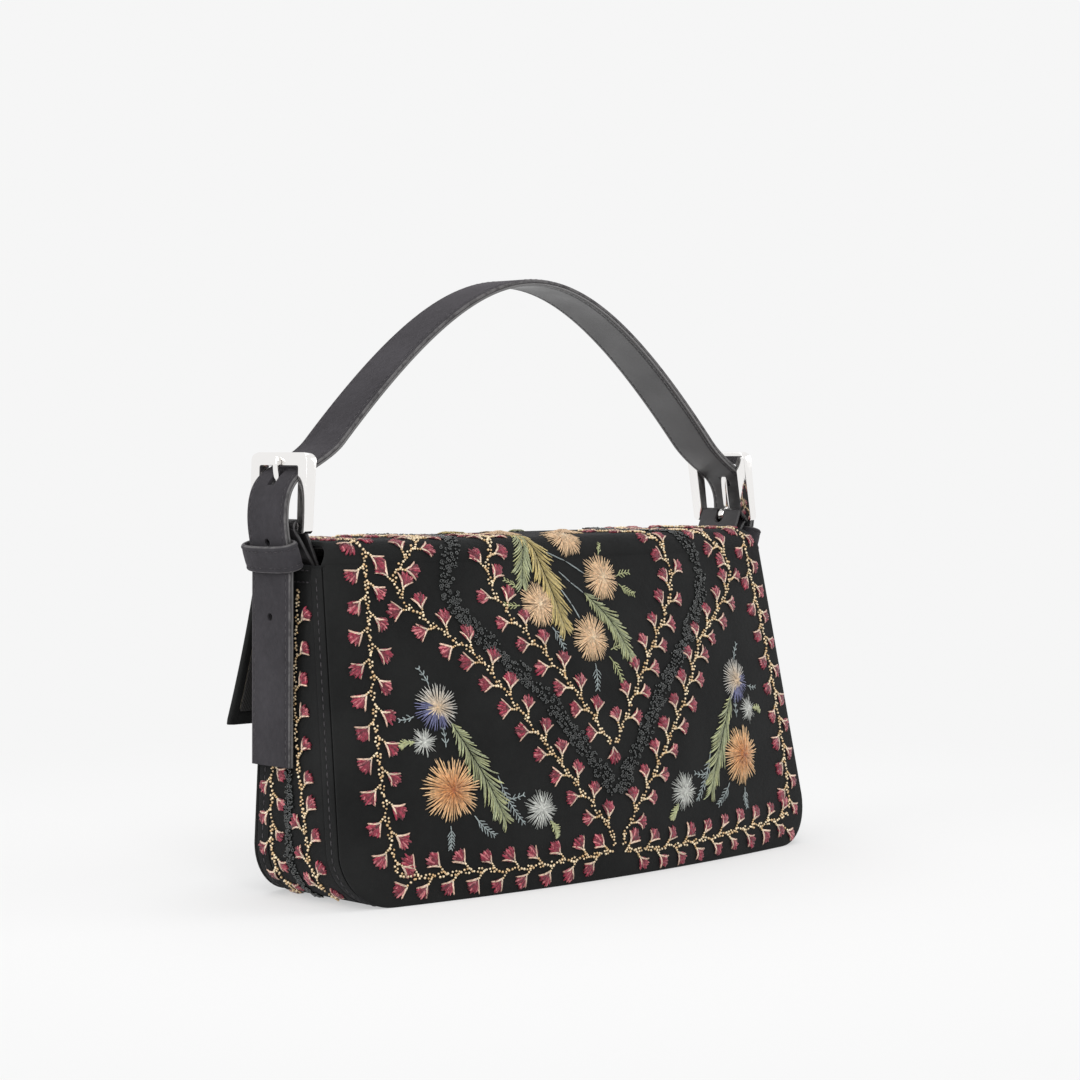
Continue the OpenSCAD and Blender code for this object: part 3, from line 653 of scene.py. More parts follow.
CLOTH = finish_of("lining_twill", WEAVE, {"Colour": grey(0.012, 0.011, 0.011), "Light": grey(0.045, 0.042, 0.04),
                                          "Pitch": 5200.0})
BOARD = finish_of("pressed_board", WEAVE, {"Colour": grey(0.2, 0.17, 0.13), "Light": grey(0.32, 0.28, 0.22),
                                           "Pitch": 2400.0})
CHROME = finish_of("chrome_plate", HANDLED, {"Polish": 0.06}, Base_Color=grey(0.93, 0.915, 0.9), Metallic=1.0)
SNAP_METAL = finish_of("snap_steel", HANDLED, {"Polish": 0.24}, Base_Color=grey(0.55, 0.54, 0.52), Metallic=1.0)
THREAD = finish_of("needle_thread", STRANDS, {"Strands": 3.0, "Depth": 0.5}, Sheen_Weight=0.25, Sheen_Roughness=0.35,
                   Specular_IOR_Level=0.5)
SEAM_THREAD = finish_of("seam_thread", STRANDS, {"Strands": 2.0, "Depth": 0.5}, Specular_IOR_Level=0.4)
GOLD = finish_of("gold_beads", STRANDS, {"Strands": 0.0, "Depth": 0.0}, Metallic=0.8, Specular_IOR_Level=0.7,
                 Coat_Weight=0.35, Coat_Roughness=0.1)
JET = finish_of("jet_beads", GRAIN, {"Colour": grey(0.012, 0.015, 0.014), "Worn": grey(0.04, 0.046, 0.044),
                                     "Gloss": 0.13, "Depth": 0.0},
                Specular_IOR_Level=0.6, Coat_Weight=0.35, Coat_Roughness=0.08)

# ---- body of the bag ----
SHOULDER_FOLD = ("bag", "flap_shoulder", (0, 0, ROLL_Z * MM), (0, 0, 0.1325))
FLAP_FOLD = ("flap_shoulder", "flap_hanging", (0, 0.034, 0.137), (0, 0.041, 0.130))
across = np.linspace(-1, 1, 121)


def panel_rows(start, top):
    """Heights of a panel's rows, close round the bottom corner and even above it."""
    low = CORNER_R - (CORNER_R - start) * np.cos(np.linspace(0, np.pi / 2, 14))
    return np.concatenate([low, np.linspace(CORNER_R, top, 46)[1:]])


def panel(name, face, sign, top, **kind):
    """Back or front panel: its outer face over the outline and the same face set in by its thickness."""
    z = panel_rows(PANEL_RIM, top)[None]
    x = across[:, None] * inset_half(z, PANEL_RIM)
    soft = softness(x, z) if sign < 0 else 0
    outer = stack(x, face(x, z) + sign * soft, z)
    inner = stack(x, face(x, z) - sign * PANEL_T, z)
    return sheet_piece(name, outer, inner, flip=sign > 0, **kind)


for name, face, sign, top in (("back", back_y, -1, ROLL_Z), ("front", front_y, 1, FRONT_TOP)):
    panel(f"{name}_suede", face, sign, top, material=SUEDE, body="bag", slot="suede", stands_for=[f"{name}_panel"],
          bulge=0.9)


def sewn_sheet(piece, grid):
    """Takes a lining and its grid, and only turns a copy of the grid into metres, which nothing uses; piece is not
    used."""
    grid = grid * MM


def lining_panel(name, face, sign):
    """Cloth behind a panel, set in from it and from the ends, from 8 mm up."""
    z = panel_rows(8.0, LINING_TOP)[None]
    x = across[::2, None] * inset_half(z, lining_inset(z) + LINING_T + SOFT_GAP)
    y = face(x, z) - sign * (PANEL_T + SOFT_GAP)
    obj = sheet_piece(f"{name}_cloth", stack(x, y, z), stack(x, y - sign * LINING_T, z), flip=sign > 0,
                      material=CLOTH, body="bag", slot="lining", stands_for=[f"{name}_lining"])
    sewn_sheet(obj, stack(x, y, z))


lining_panel("back", back_y, -1)
lining_panel("front", front_y, 1)


def shoulder_grid(d, width=1.0):
    """Shoulder at a depth: a quarter roll off the back, then level to the fold, in even rows."""
    turns = np.linspace(0, 1, 15)
    level = np.linspace(0, 1, 16)[1:]
    turn = np.concatenate([turns * np.pi / 2, np.full(15, np.pi / 2)])[None]
    part = np.concatenate([np.zeros(15), level])[None]
    u = across[:, None] * width
    half = FLAP_HALF_TOP + (half_length(ROLL_Z) - FLAP_HALF_TOP) * (1 - np.sin(turn))
    start = back_y(u * half_length(ROLL_Z), ROLL_Z) + ROLL_R
    y = start - (ROLL_R - d) * np.cos(turn) + (LEVEL_END - d - start) * part
    return stack(u * half, y, ROLL_Z + (ROLL_R - d) * np.sin(turn))


def hanging_grid(d, width=1.0):
    """Hanging flap at a depth: level from the shoulder's end, a quarter turn at the fold, then down to the lip,
    flaring at its ends."""
    level = np.linspace(0, 1, 9)[:-1]
    turn = np.concatenate([np.full(8, np.pi / 2), np.pi / 2 * (1 - np.linspace(0, 1, 11)), np.zeros(40)])[None]
    z = np.concatenate([np.full(19, FOLD_Z), np.linspace(FOLD_Z, LIP_Z, 41)[1:]])[None]
    back = np.concatenate([1 - level, np.zeros(51)])[None]
    u = across[:, None] * width
    centre = flap_y(u, z) - FOLD_R
    y = centre + (FOLD_R - d) * np.cos(turn) - (centre - LEVEL_END + d) * back
    return stack(u * flap_half(z), y, z + (FOLD_R - d) * np.sin(turn))


def turned_hem(grid):
    """Inner face of the hanging flap's hide: its own thickness down, and the whole flap's where it is turned round
    the ends and the lip."""
    thin, thick = grid(FLAP_SUEDE_T), grid(FLAP_SKIN + HEM_ROOM)
    rows_left = np.arange(thin.shape[1])[None, ::-1]
    hem = np.maximum(smooth((np.abs(across[:, None]) - 0.965) / 0.01), smooth(3.5 - rows_left))[..., None]
    return thin + (thick - thin) * hem


for part, node, grid, inner, width, rows, fold in (
        ("shoulder", "flap_top", shoulder_grid, shoulder_grid(FLAP_SKIN), 0.99, None, SHOULDER_FOLD),
        ("hanging", "flap_front", hanging_grid, turned_hem(hanging_grid), 0.972, -3, FLAP_FOLD)):
    sheet_piece(f"{part}_suede", grid(0), inner, material=SUEDE, blend=fold, slot="suede", stands_for=[node],
                bulge=0.6)
    outer, under = (grid(FLAP_SKIN + CLOTH_GAP + d, width)[:, :rows] for d in (0, LINING_T))
    sewn_sheet(sheet_piece(f"{part}_cloth", outer, under, material=CLOTH, blend=fold, slot="lining",
                           stands_for=[f"{node}_lining"]), outer)


def whole_run(step):
    """Runs from the right hem round the bottom to the left one, as a run down one end and the side it is on."""
    half_run = SIDE_RUN + ARC_RUN + ARC_X
    one = np.linspace(0, half_run, int(half_run / step))
    return np.concatenate([one, one[::-1][1:]]), np.concatenate([np.ones(len(one)), -np.ones(len(one) - 1)])


def round_strip(places, insets, d_extra=0.0, top_cut=0.0):
    """Grid round the ends and bottom. places gives the Y of each column from the band's two edges, and insets its
    inset at a run."""
    run, side = whole_run(2.2)
    run = np.maximum(run, top_cut)
    columns = []
    for place_of, inset in zip(places, insets):
        x, z = outline(run, inset(run) + d_extra)
        low, high = band_edges(x, z)
        columns.append(stack(side * x, place_of(low, high), z))
    return np.stack(columns, 1)


def gusset_columns():
    """Columns of the gusset: flat under the two seam strips, with a soft hollow between them at the ends."""
    middle_shares = np.concatenate([[0.003], np.linspace(0, 1, 21)[1:-1], [0.997]])
    shares = np.concatenate([np.linspace(0, 1, 4), 1 + middle_shares, 2 + np.linspace(0, 1, 4)])
    places, insets = [], []
    for s in shares:
        def place_of(low, high, s=s):
            inner_low, inner_high = low + SEAM_W, high - SEAM_W
            if s <= 1:
                return low + s * SEAM_W
            return high - (3 - s) * SEAM_W if s >= 2 else inner_low + (s - 1) * (inner_high - inner_low)

        def inset(run, s=s):
            middle = float(1 < s < 2)
            hollow = HOLLOW * np.clip(4 * (s - 1) * (2 - s), 0, 1) * (1 - smooth((run - 70) / 50))
            return SEAM_T * (1 - middle) + middle * gusset_inset(run) + hollow

        places.append(place_of)
        insets.append(inset)
    return places, insets


columns = gusset_columns()
sheet_piece("gusset_suede", round_strip(*columns), round_strip(*columns, GUSSET_T), flip=True, material=SUEDE,
            body="bag", slot="suede", stands_for=["gusset"])
columns = ([lambda low, high, s=s: low + SOFT_GAP + s * (high - low - 2 * SOFT_GAP) for s in np.linspace(0, 1, 9)],
           [lambda run: lining_inset(outline(run, 0)[1])] * 9)
gusset_cloth = round_strip(*columns, 0, 0.3)
sewn_sheet(sheet_piece("gusset_cloth", gusset_cloth, round_strip(*columns, LINING_T, 0.3), flip=True, material=CLOTH,
                       body="bag", slot="lining", stands_for=["gusset_lining"]), gusset_cloth)


def seam_strip(name, from_back):
    """Lapped strip where gusset and panel are sewn: pillowed across by an arc, with a groove along the stitching."""
    shares = np.linspace(0, 1, 15)
    crown = 0.25 * (1 - (2 * shares - 1) ** 2) - 0.22 * np.exp(-((shares - 0.5) / 0.09) ** 2)
    width = SEAM_W - 0.1
    places = [lambda low, high, s=s: low + 0.1 + s * width if from_back else high - 0.1 - s * width for s in shares]
    insets = [lambda run, c=c: 0.25 - c + 0 * run for c in crown]
    inner = [lambda run: SEAM_T - 0.05 + 0 * run] * len(shares)
    return sheet_piece(f"{name}_seam_band", round_strip(places, insets, 0, 1.0), round_strip(places, inner, 0, 1.0),
                       flip=from_back, material=SUEDE, body="bag", slot="suede", stands_for=[f"{name}_seam_strip"])


seam_strip("back", True)
seam_strip("front", False)
for node in ("base_board", "flap_board"):
    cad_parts[node].data.materials.clear()
    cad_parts[node].data.materials.append(BOARD)


# ---- strap ----
def bezier(a, b, c, d, n):
    """Points of a cubic curve after its start, by the four Bernstein weights."""
    t = (np.arange(1, n + 1) / n)[:, None]
    s = 1 - t
    return s**3 * a + 3 * s * s * t * b + 3 * s * t * t * c + t**3 * d


def strap_half(lean):
    """Middle line of half the strap, from the crown out through the buckle and down the tail: a hyperbola over the
    crown, then three curves that leave each other in line, then straight."""
    join = np.array([HEEL_X - 21.5, HEEL_Z + 32.6])
    k = (CROWN_Z - join[1]) / (math.hypot(CROWN_ROUND, join[0]) - CROWN_ROUND)
    slope = -k * join[0] / math.hypot(CROWN_ROUND, join[0])
    x = join[0] * np.arange(0, 61) / 60
    crown = np.stack([x, CROWN_Z - k * (np.hypot(CROWN_ROUND, x) - CROWN_ROUND)], 1)
    top_bar = np.array([HEEL_X - BUCKLE_RISE * math.sin(lean), HEEL_Z + BUCKLE_RISE * math.cos(lean)])
    under = top_bar - [0, TOP_BAR_H / 2 + STRAP_T / 2 + BAR_ROOM]
    bulge = np.array([HEEL_X + 6.4, HEEL_Z + 3.4])
    tail = np.array([HEEL_X + 4.1, HEEL_Z - 15.6])
    end = np.array([half_length(TAIL_Z) + SOFT_GAP + STRAP_T / 2, TAIL_Z])
    lead = np.array([1, slope]) / math.hypot(1, slope)
    return np.concatenate([crown, bezier(join, join + 7 * lead, under + [-6.4, 3.6], under, 16),
                           bezier(under, under + [5, -2.8], bulge + [0, 9], bulge, 20),
                           bezier(bulge, bulge - [0, 7], tail + [0, 7], tail, 14),
                           tail + (end - tail) * np.linspace(0, 1, 30)[1:, None]])


def strap_profile(low, high, face):
    """Half the section of the strap over its width: flat middle, a groove along each row of stitching, round edges.
    face is 1 where the outer side is the finished one and -1 where the inner side is."""
    half = STRAP_W / 2
    y = np.concatenate([np.linspace(-half + 0.5, -half + 3.2, 10), np.linspace(-half + 3.2, half - 3.2, 7)[1:-1],
                        np.linspace(half - 3.2, half - 0.5, 10)])
    dip = 0.2 * np.exp(-((np.abs(y) - half + 1.9) / 0.35) ** 2) + 0.22 * smooth((np.abs(y) - half + 1.6) / 1.4)
    turn = np.linspace(0, np.pi, 7)[1:-1]
    top, bottom = (high - dip, np.full(len(y), low)) if face > 0 else (np.full(len(y), high), low + dip)
    middle, thick = (top[-1] + bottom[-1]) / 2, (top[-1] - bottom[-1]) / 2
    right = np.stack([half - 0.5 + 0.5 * np.sin(turn), middle + thick * np.cos(turn)], 1)
    left = right[::-1] * [-1, 1]
    return np.concatenate([np.stack([y, top], 1), right, np.stack([y[::-1], bottom[::-1]], 1), left])


def ribbon(name, half_path, side, low, high, face):
    """Strap layer along part of its middle line: the section carried with Y across and the outward normal up."""
    run = unit(np.gradient(half_path, axis=0))
    up = np.stack([-run[:, 1] * side, np.zeros(len(run)), run[:, 0]], 1)
    path = np.stack([half_path[:, 0] * side, np.full(len(run), STRAP_Y), half_path[:, 1]], 1)
    across_dir = np.tile([0.0, 1.0, 0.0], (len(path), 1))
    points, faces = carried(path, across_dir, up, strap_profile(low, high, face))
    if side < 0:
        faces = [np.asarray(f)[:, ::-1] for f in faces]
    length = run_along(half_path)
    ring = len(points) // len(path)
    uv = np.stack([np.repeat(length, ring) / 100, np.tile(np.linspace(0, 1, ring), len(path))], 1)
    return outward(new_object(name, points, faces, uv)), path, up


def cutter(points, faces):
    """Solid that is cut out of a piece and then removed."""
    return outward(new_object("cutter", points, faces))


def tube_cutter(centre, axis, radius, length):
    """Round cutter for a punched hole: a circle carried along an axis."""
    axis = unit(np.asarray(axis, float))
    side = unit(np.cross(axis, [0, 1, 0.02]))
    up = np.cross(axis, side)
    a = 2 * np.pi * np.arange(20) / 20
    path = np.asarray(centre) + axis * np.array([-length / 2, length / 2])[:, None]
    circle = radius * np.stack([np.cos(a), np.sin(a)], 1)
    return cutter(*carried(path, np.tile(side, (2, 1)), np.tile(up, (2, 1)), circle))


def box_cutter(low, high, lean, side):
    """Slot cutter in the buckle's own frame: round-ended box, leaned about the heel bar."""
    r, mid = (high[1] - low[1]) / 2, (low[1] + high[1]) / 2
    a = np.linspace(0, np.pi, 9)
    loop = np.concatenate([np.stack([r * np.cos(a), high[2] - r + r * np.sin(a)], 1),
                           np.stack([-r * np.cos(a), low[2] + r - r * np.sin(a)], 1)])
    rings = [np.stack([np.full(len(loop), x), loop[:, 0] + mid, loop[:, 1]], 1) for x in (low[0], high[0])]
    return cutter(at_heel(leaned(np.concatenate(rings), lean), side), tube_faces(2, len(loop)))


def wear(obj, amount):
    """Writes the worn value of each point from a function of its place in millimetres."""
    place_at = np.zeros(len(obj.data.vertices) * 3, np.float32)
    obj.data.vertices.foreach_get("co", place_at)
    value = np.clip(amount(place_at.reshape(-1, 3) / MM), 0, 1).astype(np.float32)
    obj.data.attributes.new("worn", "FLOAT", "POINT").data.foreach_set("value", value)
    return obj


def strip_edges(half_width):
    """Worn value of a strip's two long edges: full on the outer third of a millimetre."""
    return lambda p: (np.abs(p[:, 1] - STRAP_Y) > half_width - 0.32) * 0.8


def outward(obj):
    """Turns all faces of a closed mesh outwards."""
    work = bmesh.new()
    work.from_mesh(obj.data)
    bmesh.ops.recalc_face_normals(work, faces=work.faces)
    work.to_mesh(obj.data)
    work.free()
    return obj


def cut(obj, cutters):
    """Takes the cutters out of a piece, then removes them."""
    for c in cutters:
        m = obj.modifiers.new("cut", "BOOLEAN")
        m.operation, m.solver, m.object = "DIFFERENCE", "MANIFOLD", c
    settle(obj)
    for c in cutters:
        bpy.data.objects.remove(c)
    return obj


def round_edges(obj, width, steps=2, angle=45, sharp=40):
    """Rounds the crisp edges of a piece."""
    m = obj.modifiers.new("round", "BEVEL")
    m.width, m.segments, m.limit_method, m.angle_limit = width * MM, steps, "ANGLE", math.radians(angle)
    return settle(obj, sharp)


def stitch_line(path, up, shift, lift, pitch=3.0, length=2.1):
    """Places of stitches along a path, moved across it and off its face: each is a short arc that dips at its ends."""
    run = run_along(path)
    starts = np.arange(pitch / 2, run[-1] - pitch, pitch)
    at = starts[:, None] + length * STROKE_AT
    line = path + unit(np.cross(unit(np.gradient(path, axis=0)), up)) * shift
    ups = unit(at_run(at, run, up))
    return at_run(at, run, line) + ups * (lift + 0.12 * np.sin(np.pi * STROKE_AT))[None, :, None], ups


def stitches(name, lines, colour, width=0.55, **kind):
    """One piece from several rows of stitches, all of one thread."""
    pts = np.concatenate([p for p, u in lines])
    ups = np.concatenate([u for p, u in lines])
    shade = np.asarray(colour)[None] * rng.uniform(0.8, 1.25, (len(pts), 1))
    wide = np.full(len(pts), width)
    obj = strokes(name, pts, ups, wide, wide * 0.8, np.concatenate([shade, shade], 1))
    return place(obj, SEAM_THREAD, **kind)


STITCH_GREY = (0.05, 0.045, 0.05)
# Layers of the strap: name, inner and outer height, 1 where the outer face shows, height of the stitches, finish, slot
LAYERS = (("suede", -0.075, STRAP_T / 2, 1, STRAP_T / 2 - 0.2, STRAP_SUEDE, "suede_trim"),
          ("leather", -STRAP_T / 2, -0.125, -1, -STRAP_T / 2 + 0.1, LEATHER, "smooth_leather"))


def edge_rows(path, up, lift):
    """The rows of stitching along both edges of the strap."""
    return [stitch_line(path, up, shift * (STRAP_W / 2 - STITCH_INSET), lift) for shift in (-1, 1)]


for side in (-1, 1):
    label, lean = SIDE_NAME[side], LEAN[side]
    half = strap_half(lean)
    half = half[half[:, 0] > 0]
    end_path = half[np.argmax(half[:, 0] >= ARCH_END):]
    bend = ("bag", "handle", (side * 0.119, 0, 0), (side * 0.1055, 0, 0))
    for layer, low, high, face, lift, material, slot in LAYERS:
        obj, path, up = ribbon(f"{label}_tail_{layer}", end_path, side, low, high, face)
        holes = [tube_cutter((side * HEEL_X, STRAP_Y, HEEL_Z - HOLE_DROP - k * HOLE_PITCH), (side, 0, 0), HOLE_R, 24)
                 for k in (0, 1)]
        cut(obj, holes + [box_cutter(SLOT_LOW, SLOT_HIGH, lean, side)])
        round_edges(obj, 0.25, 2, 55)
        wear(obj, strip_edges(STRAP_W / 2))
        place(obj, material, blend=bend, slot=slot, stands_for=[f"{label}_strap_{layer}"])
        stitches(f"{label}_tail_{layer}_stitches", edge_rows(path, up, lift), STITCH_GREY, blend=bend)

left_part = strap_half(LEAN[-1])
left_part = left_part[left_part[:, 0] <= ARCH_END + 3.0]
left_part = left_part[:np.argmax(left_part[:, 0]) + 1]
right_part = strap_half(LEAN[1])[:len(left_part)]
arch = np.concatenate([left_part[::-1] * [-1, 1], right_part[1:]])
for layer, low, high, face, lift, material, slot in LAYERS:
    obj, path, up = ribbon(f"arch_{layer}", arch, 1, low - 0.02, high + 0.02, face)
    settle(obj, 60)
    wear(obj, strip_edges(STRAP_W / 2))
    place(obj, material, body="handle", slot=slot, stands_for=[f"handle_{layer}"])
    stitches(f"arch_{layer}_stitches", edge_rows(path, up, lift), STITCH_GREY, body="handle")


# ---- buckles, tabs, keepers and snap ----
def fine_copy(node, name, width, material, body, slot, steps=3, angle=28):
    """Copy of a metal node: doubles merged, flat faces joined, crisp edges rounded."""
    work = bmesh.new()
    work.from_mesh(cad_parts[node].data)
    bmesh.ops.remove_doubles(work, verts=work.verts, dist=2e-6)
    bmesh.ops.dissolve_limit(work, angle_limit=math.radians(2), verts=work.verts, edges=work.edges)
    mesh = bpy.data.meshes.new(name)
    work.to_mesh(mesh)
    work.free()
    if "custom_normal" in mesh.attributes:  # the solid's own normals don't fit the rounded edges
        mesh.attributes.remove(mesh.attributes["custom_normal"])
    obj = bpy.data.objects.new(name, mesh)
    bpy.context.scene.collection.objects.link(obj)
    round_edges(obj, width, steps, angle, 35)
    return place(obj, material, body=body, slot=slot, stands_for=[node])


def prong(side):
    """Prong: an eye round the heel bar and a tongue that leaves it, rises behind the strap, comes through it and
    ends in a rounded tip on the face of the top bar; its section is a flattened round that narrows to the tip."""
    label = SIDE_NAME[side]
    path, run = along([[2.3, 0.6], [2.1, 5], [2.0, 10], [2.1, 14.5], [2.65, 18.2], [3.35, 21.2], [3.72, 24.2],
                       [3.5, 26.7]], 0.5)
    half_w, half_t = 1.6, 0.88
    a = 2 * np.pi * np.arange(20) / 20
    section = np.stack([half_w * signed_power(np.cos(a), 0.6), half_t * signed_power(np.sin(a), 0.6)], 1)
    left = np.clip((run[-1] - run) / 2.2, 0, 1)
    scale = (0.25 + 0.75 * np.sqrt(1 - (1 - left) ** 2)) * (1 - 0.18 * smooth((run - 14) / 12))
    direction = unit(np.gradient(path, axis=0))
    out = np.stack([direction[:, 1], -direction[:, 0]], 1)
    flat = path[:, None] + out[:, None] * (section[None, :, 1:] * np.minimum(1, 0.35 + 0.65 * scale)[:, None, None])
    tongue = stack(flat[..., 0], section[None, :, 0] * scale[:, None], flat[..., 1])
    b = 2 * np.pi * np.arange(36) / 36
    ring_r = 2.35 + 0.68 * section[:, 1] / half_t
    eye = stack(np.cos(b)[:, None] * ring_r, section[None, :, 0], np.sin(b)[:, None] * ring_r)
    faces = tube_faces(len(path), len(a)) + [grid_quads(36, len(a), True, True, len(path) * len(a))]
    points = leaned(np.concatenate([tongue.reshape(-1, 3), eye.reshape(-1, 3)]), LEAN[side])
    obj = outward(new_object(f"{label}_prong_tongue", at_heel(points, side), faces))
    place(obj, CHROME, body=f"{label}_prong", slot="chrome", stands_for=[f"{label}_prong"])


for label in ("left", "right"):
    fine_copy(f"{label}_buckle", f"{label}_buckle_frame", 0.38, CHROME, "bag", "chrome")
fine_copy("snap_socket", "snap_ring", 0.15, SNAP_METAL, "bag", "snap_metal", 2)
fine_copy("snap_stud", "snap_disc", 0.15, SNAP_METAL, "flap_hanging", "snap_metal", 2)


def strip_profile(width, thick, edge):
    """Section of a leather strip with round edges: width along the first axis, thickness along the second."""
    turn = np.linspace(0, np.pi, 9)
    r = thick / 2
    right = np.stack([width / 2 - edge + edge * np.sin(turn), r * np.cos(turn)], 1)
    return np.concatenate([right, -right])


def tab(side):
    """Tab: up inside the gusset, round the heel bar and down again beside itself, slit where the prong stands."""
    label = SIDE_NAME[side]
    mid_r = HEEL_D / 2 + 0.12 + TAB_LEATHER_T / 2
    turn = np.radians(np.linspace(-33, 147, 40))
    loop = np.array([HEEL_X, HEEL_Z]) + mid_r * np.stack([np.cos(turn), np.sin(turn)], 1)
    z = np.linspace(109, 128.5, 12)
    out_x = half_length(z) - TAB_SET_IN - TAB_LEATHER_T / 2
    in_x = half_length(z) - TAB_SET_IN - (2 * TAB_LEATHER_T + 1) + TAB_LEATHER_T / 2
    flat = along(np.concatenate([np.stack([out_x, z], 1), loop[::3], np.stack([in_x, z], 1)[::-1]]), 0.7)[0]
    run = unit(np.gradient(flat, axis=0))
    path = np.stack([flat[:, 0] * side, np.full(len(flat), STRAP_Y), flat[:, 1]], 1)
    up = np.stack([run[:, 1] * side, np.zeros(len(run)), -run[:, 0]], 1)
    points, faces = carried(path, np.tile([0.0, 1.0, 0.0], (len(path), 1)), up,
                            strip_profile(TAB_W, TAB_LEATHER_T, 0.5))
    obj = outward(new_object(f"{label}_tab_strip", points, faces))
    cut(obj, [box_cutter((-10, -2.3, -3.4), (10, 2.3, 15), 0.0, side)])
    round_edges(obj, 0.2, 2, 60)
    wear(obj, lambda p: 0.35 * strip_edges(TAB_W / 2)(p))
    place(obj, EDGE_LEATHER, body="bag", slot="smooth_leather", stands_for=[f"{label}_tab"])


def keeper(side):
    """Keeper: a folded strip whose long edges are rolled, carried round an oval of the power 2.7 and tipped."""
    label = SIDE_NAME[side]
    half_x, half_y = STRAP_T / 2 + 2.3 + KEEPER_T / 2, STRAP_W / 2 + KEEPER_GAP + KEEPER_T / 2
    a = 2 * np.pi * np.arange(720) / 720
    loop = np.stack([half_x * signed_power(np.cos(a), 2 / 2.7), half_y * signed_power(np.sin(a), 2 / 2.7)], 1)
    even = along(np.concatenate([loop, loop[:1]]), 0.7)[0][:-1]
    run = unit(np.roll(even, -1, 0) - np.roll(even, 1, 0))
    out = np.stack([run[:, 1], -run[:, 0], np.zeros(len(run))], 1)
    path = np.stack([even[:, 0], even[:, 1], np.zeros(len(even))], 1)
    t = 2 * np.pi * np.arange(40) / 40
    along_h = KEEPER_H / 2 * signed_power(np.cos(t), 0.55)
    from_edge = KEEPER_H / 2 - np.abs(along_h)
    rolled = 1 + 0.5 * np.exp(-(from_edge - 0.9) ** 2 / 0.5) - 0.45 * np.exp(-(from_edge - 2.0) ** 2 / 0.12)
    outer_side = np.sin(t) > 0
    depth = KEEPER_T / 2 * np.where(outer_side, rolled, 0.9)
    profile = np.stack([along_h, depth * signed_power(np.sin(t), 0.4) + outer_side * 0.35 * np.sin(t)], 1)
    points, faces = carried(path, np.tile([0.0, 0.0, 1.0], (len(path), 1)), out, profile, closed=True)
    points = at_heel(leaned(points, -KEEPER_TIP), side, KEEPER_AT)
    obj = outward(new_object(f"{label}_keeper_loop", points, faces))
    level = np.tile(np.abs(along_h) > KEEPER_H / 2 - 0.5, len(path))
    wear(obj, lambda p: level * 0.7)
    ring_path = path + out * (KEEPER_T / 2 + 0.12)
    rows = []
    for h in (-1, 1):
        pts, ups = stitch_line(np.concatenate([ring_path, ring_path[:1]]) + [0, 0, h * (KEEPER_H / 2 - 2.0)],
                               np.concatenate([out, out[:1]]), 0.0, 0.0, 2.6, 1.7)
        rows.append((at_heel(leaned(pts, -KEEPER_TIP), side, KEEPER_AT), leaned(ups, -KEEPER_TIP) * [side, 1, 1]))
    stitches(f"{label}_keeper_stitches", rows, STITCH_GREY, 0.45, body="bag")
    place(obj, STRAP_SUEDE, body="bag", slot="suede_trim", stands_for=[f"{label}_keeper"])


for side in (-1, 1):
    prong(side)
    tab(side)
    keeper(side)


# ---- seams of the body ----
def end_rows(side):
    """Stitch rows of one end: along both seam bands, and two rows across the hem."""
    run = np.linspace(3, SIDE_RUN + ARC_RUN + ARC_X - 1, 220)
    rows = []
    for from_back in (True, False):
        x, z = outline(run, 0.12)
        low, high = band_edges(x, z)
        y = low + SEAM_W / 2 if from_back else high - SEAM_W / 2
        path = stack(side * x, y, z)
        tangent = unit(np.gradient(path, axis=0))
        out = unit(np.cross(tangent, [0, 1.0, 0])) * side
        rows.append(stitch_line(path, out, 0.0, 0.0, 3.2, 2.2))
    for depth in (2.0, 6.5):
        x, z = outline(np.array([depth]), 0.5)
        low, high = band_edges(x, z)
        y = np.linspace(float(low[0]) + SEAM_W + 0.5, float(high[0]) - SEAM_W - 0.5, 30)
        share = (y - y[0]) / (y[-1] - y[0])
        hollow = HOLLOW * np.clip(4 * share * (1 - share), 0, 1)
        path = stack(side * (x[0] - hollow), y, np.full(30, z[0]))
        rows.append(stitch_line(path, np.tile([float(side), 0, 0], (30, 1)), 0.0, 0.05, 2.8, 1.9))
    return rows


stitches("seam_stitches", end_rows(-1) + end_rows(1), STITCH_GREY, body="bag")


# ---- needlework ----
CRIMSON, WINE, ROSE = (0.4, 0.032, 0.07), (0.12, 0.008, 0.02), (0.66, 0.2, 0.22)
CREAM, SEPAL_TIP = (0.92, 0.74, 0.57), (0.74, 0.46, 0.34)
SALMON, PEACH, PEACH_TIP = (0.74, 0.42, 0.22), (0.9, 0.64, 0.38), (0.97, 0.8, 0.56)
RUST, ORANGE, PALE_ORANGE = (0.3, 0.07, 0.02), (0.74, 0.27, 0.055), (0.92, 0.63, 0.34)
WHITE, ASH, PEARL, VIOLET = (0.78, 0.79, 0.74), (0.44, 0.46, 0.43), (0.64, 0.65, 0.62), (0.12, 0.125, 0.24)
SAGE, SAGE_TIP, OLIVE, OLIVE_TIP = (0.12, 0.14, 0.065), (0.5, 0.55, 0.34), (0.22, 0.17, 0.05), (0.7, 0.58, 0.27)
LIME, SILVER = (0.5, 0.53, 0.26), (0.36, 0.42, 0.42)
GOLD_BEAD, BRONZE_BEAD = (1.0, 0.86, 0.62), (0.68, 0.46, 0.23)
BUD_PITCH, BEAD_PITCH, BEAD_R = 11.7, 1.5, 0.56


def turned(direction, angle):
    """A flat direction, or several, turned by an angle or angles."""
    c, s = np.cos(angle), np.sin(angle)
    return np.stack([direction[..., 0] * c - direction[..., 1] * s, direction[..., 0] * s + direction[..., 1] * c], -1)


def between(low, high, shape):
    """Colours strewn between two."""
    share = rng.random((*np.atleast_1d(shape), 1))
    return np.asarray(low) * (1 - share) + np.asarray(high) * share


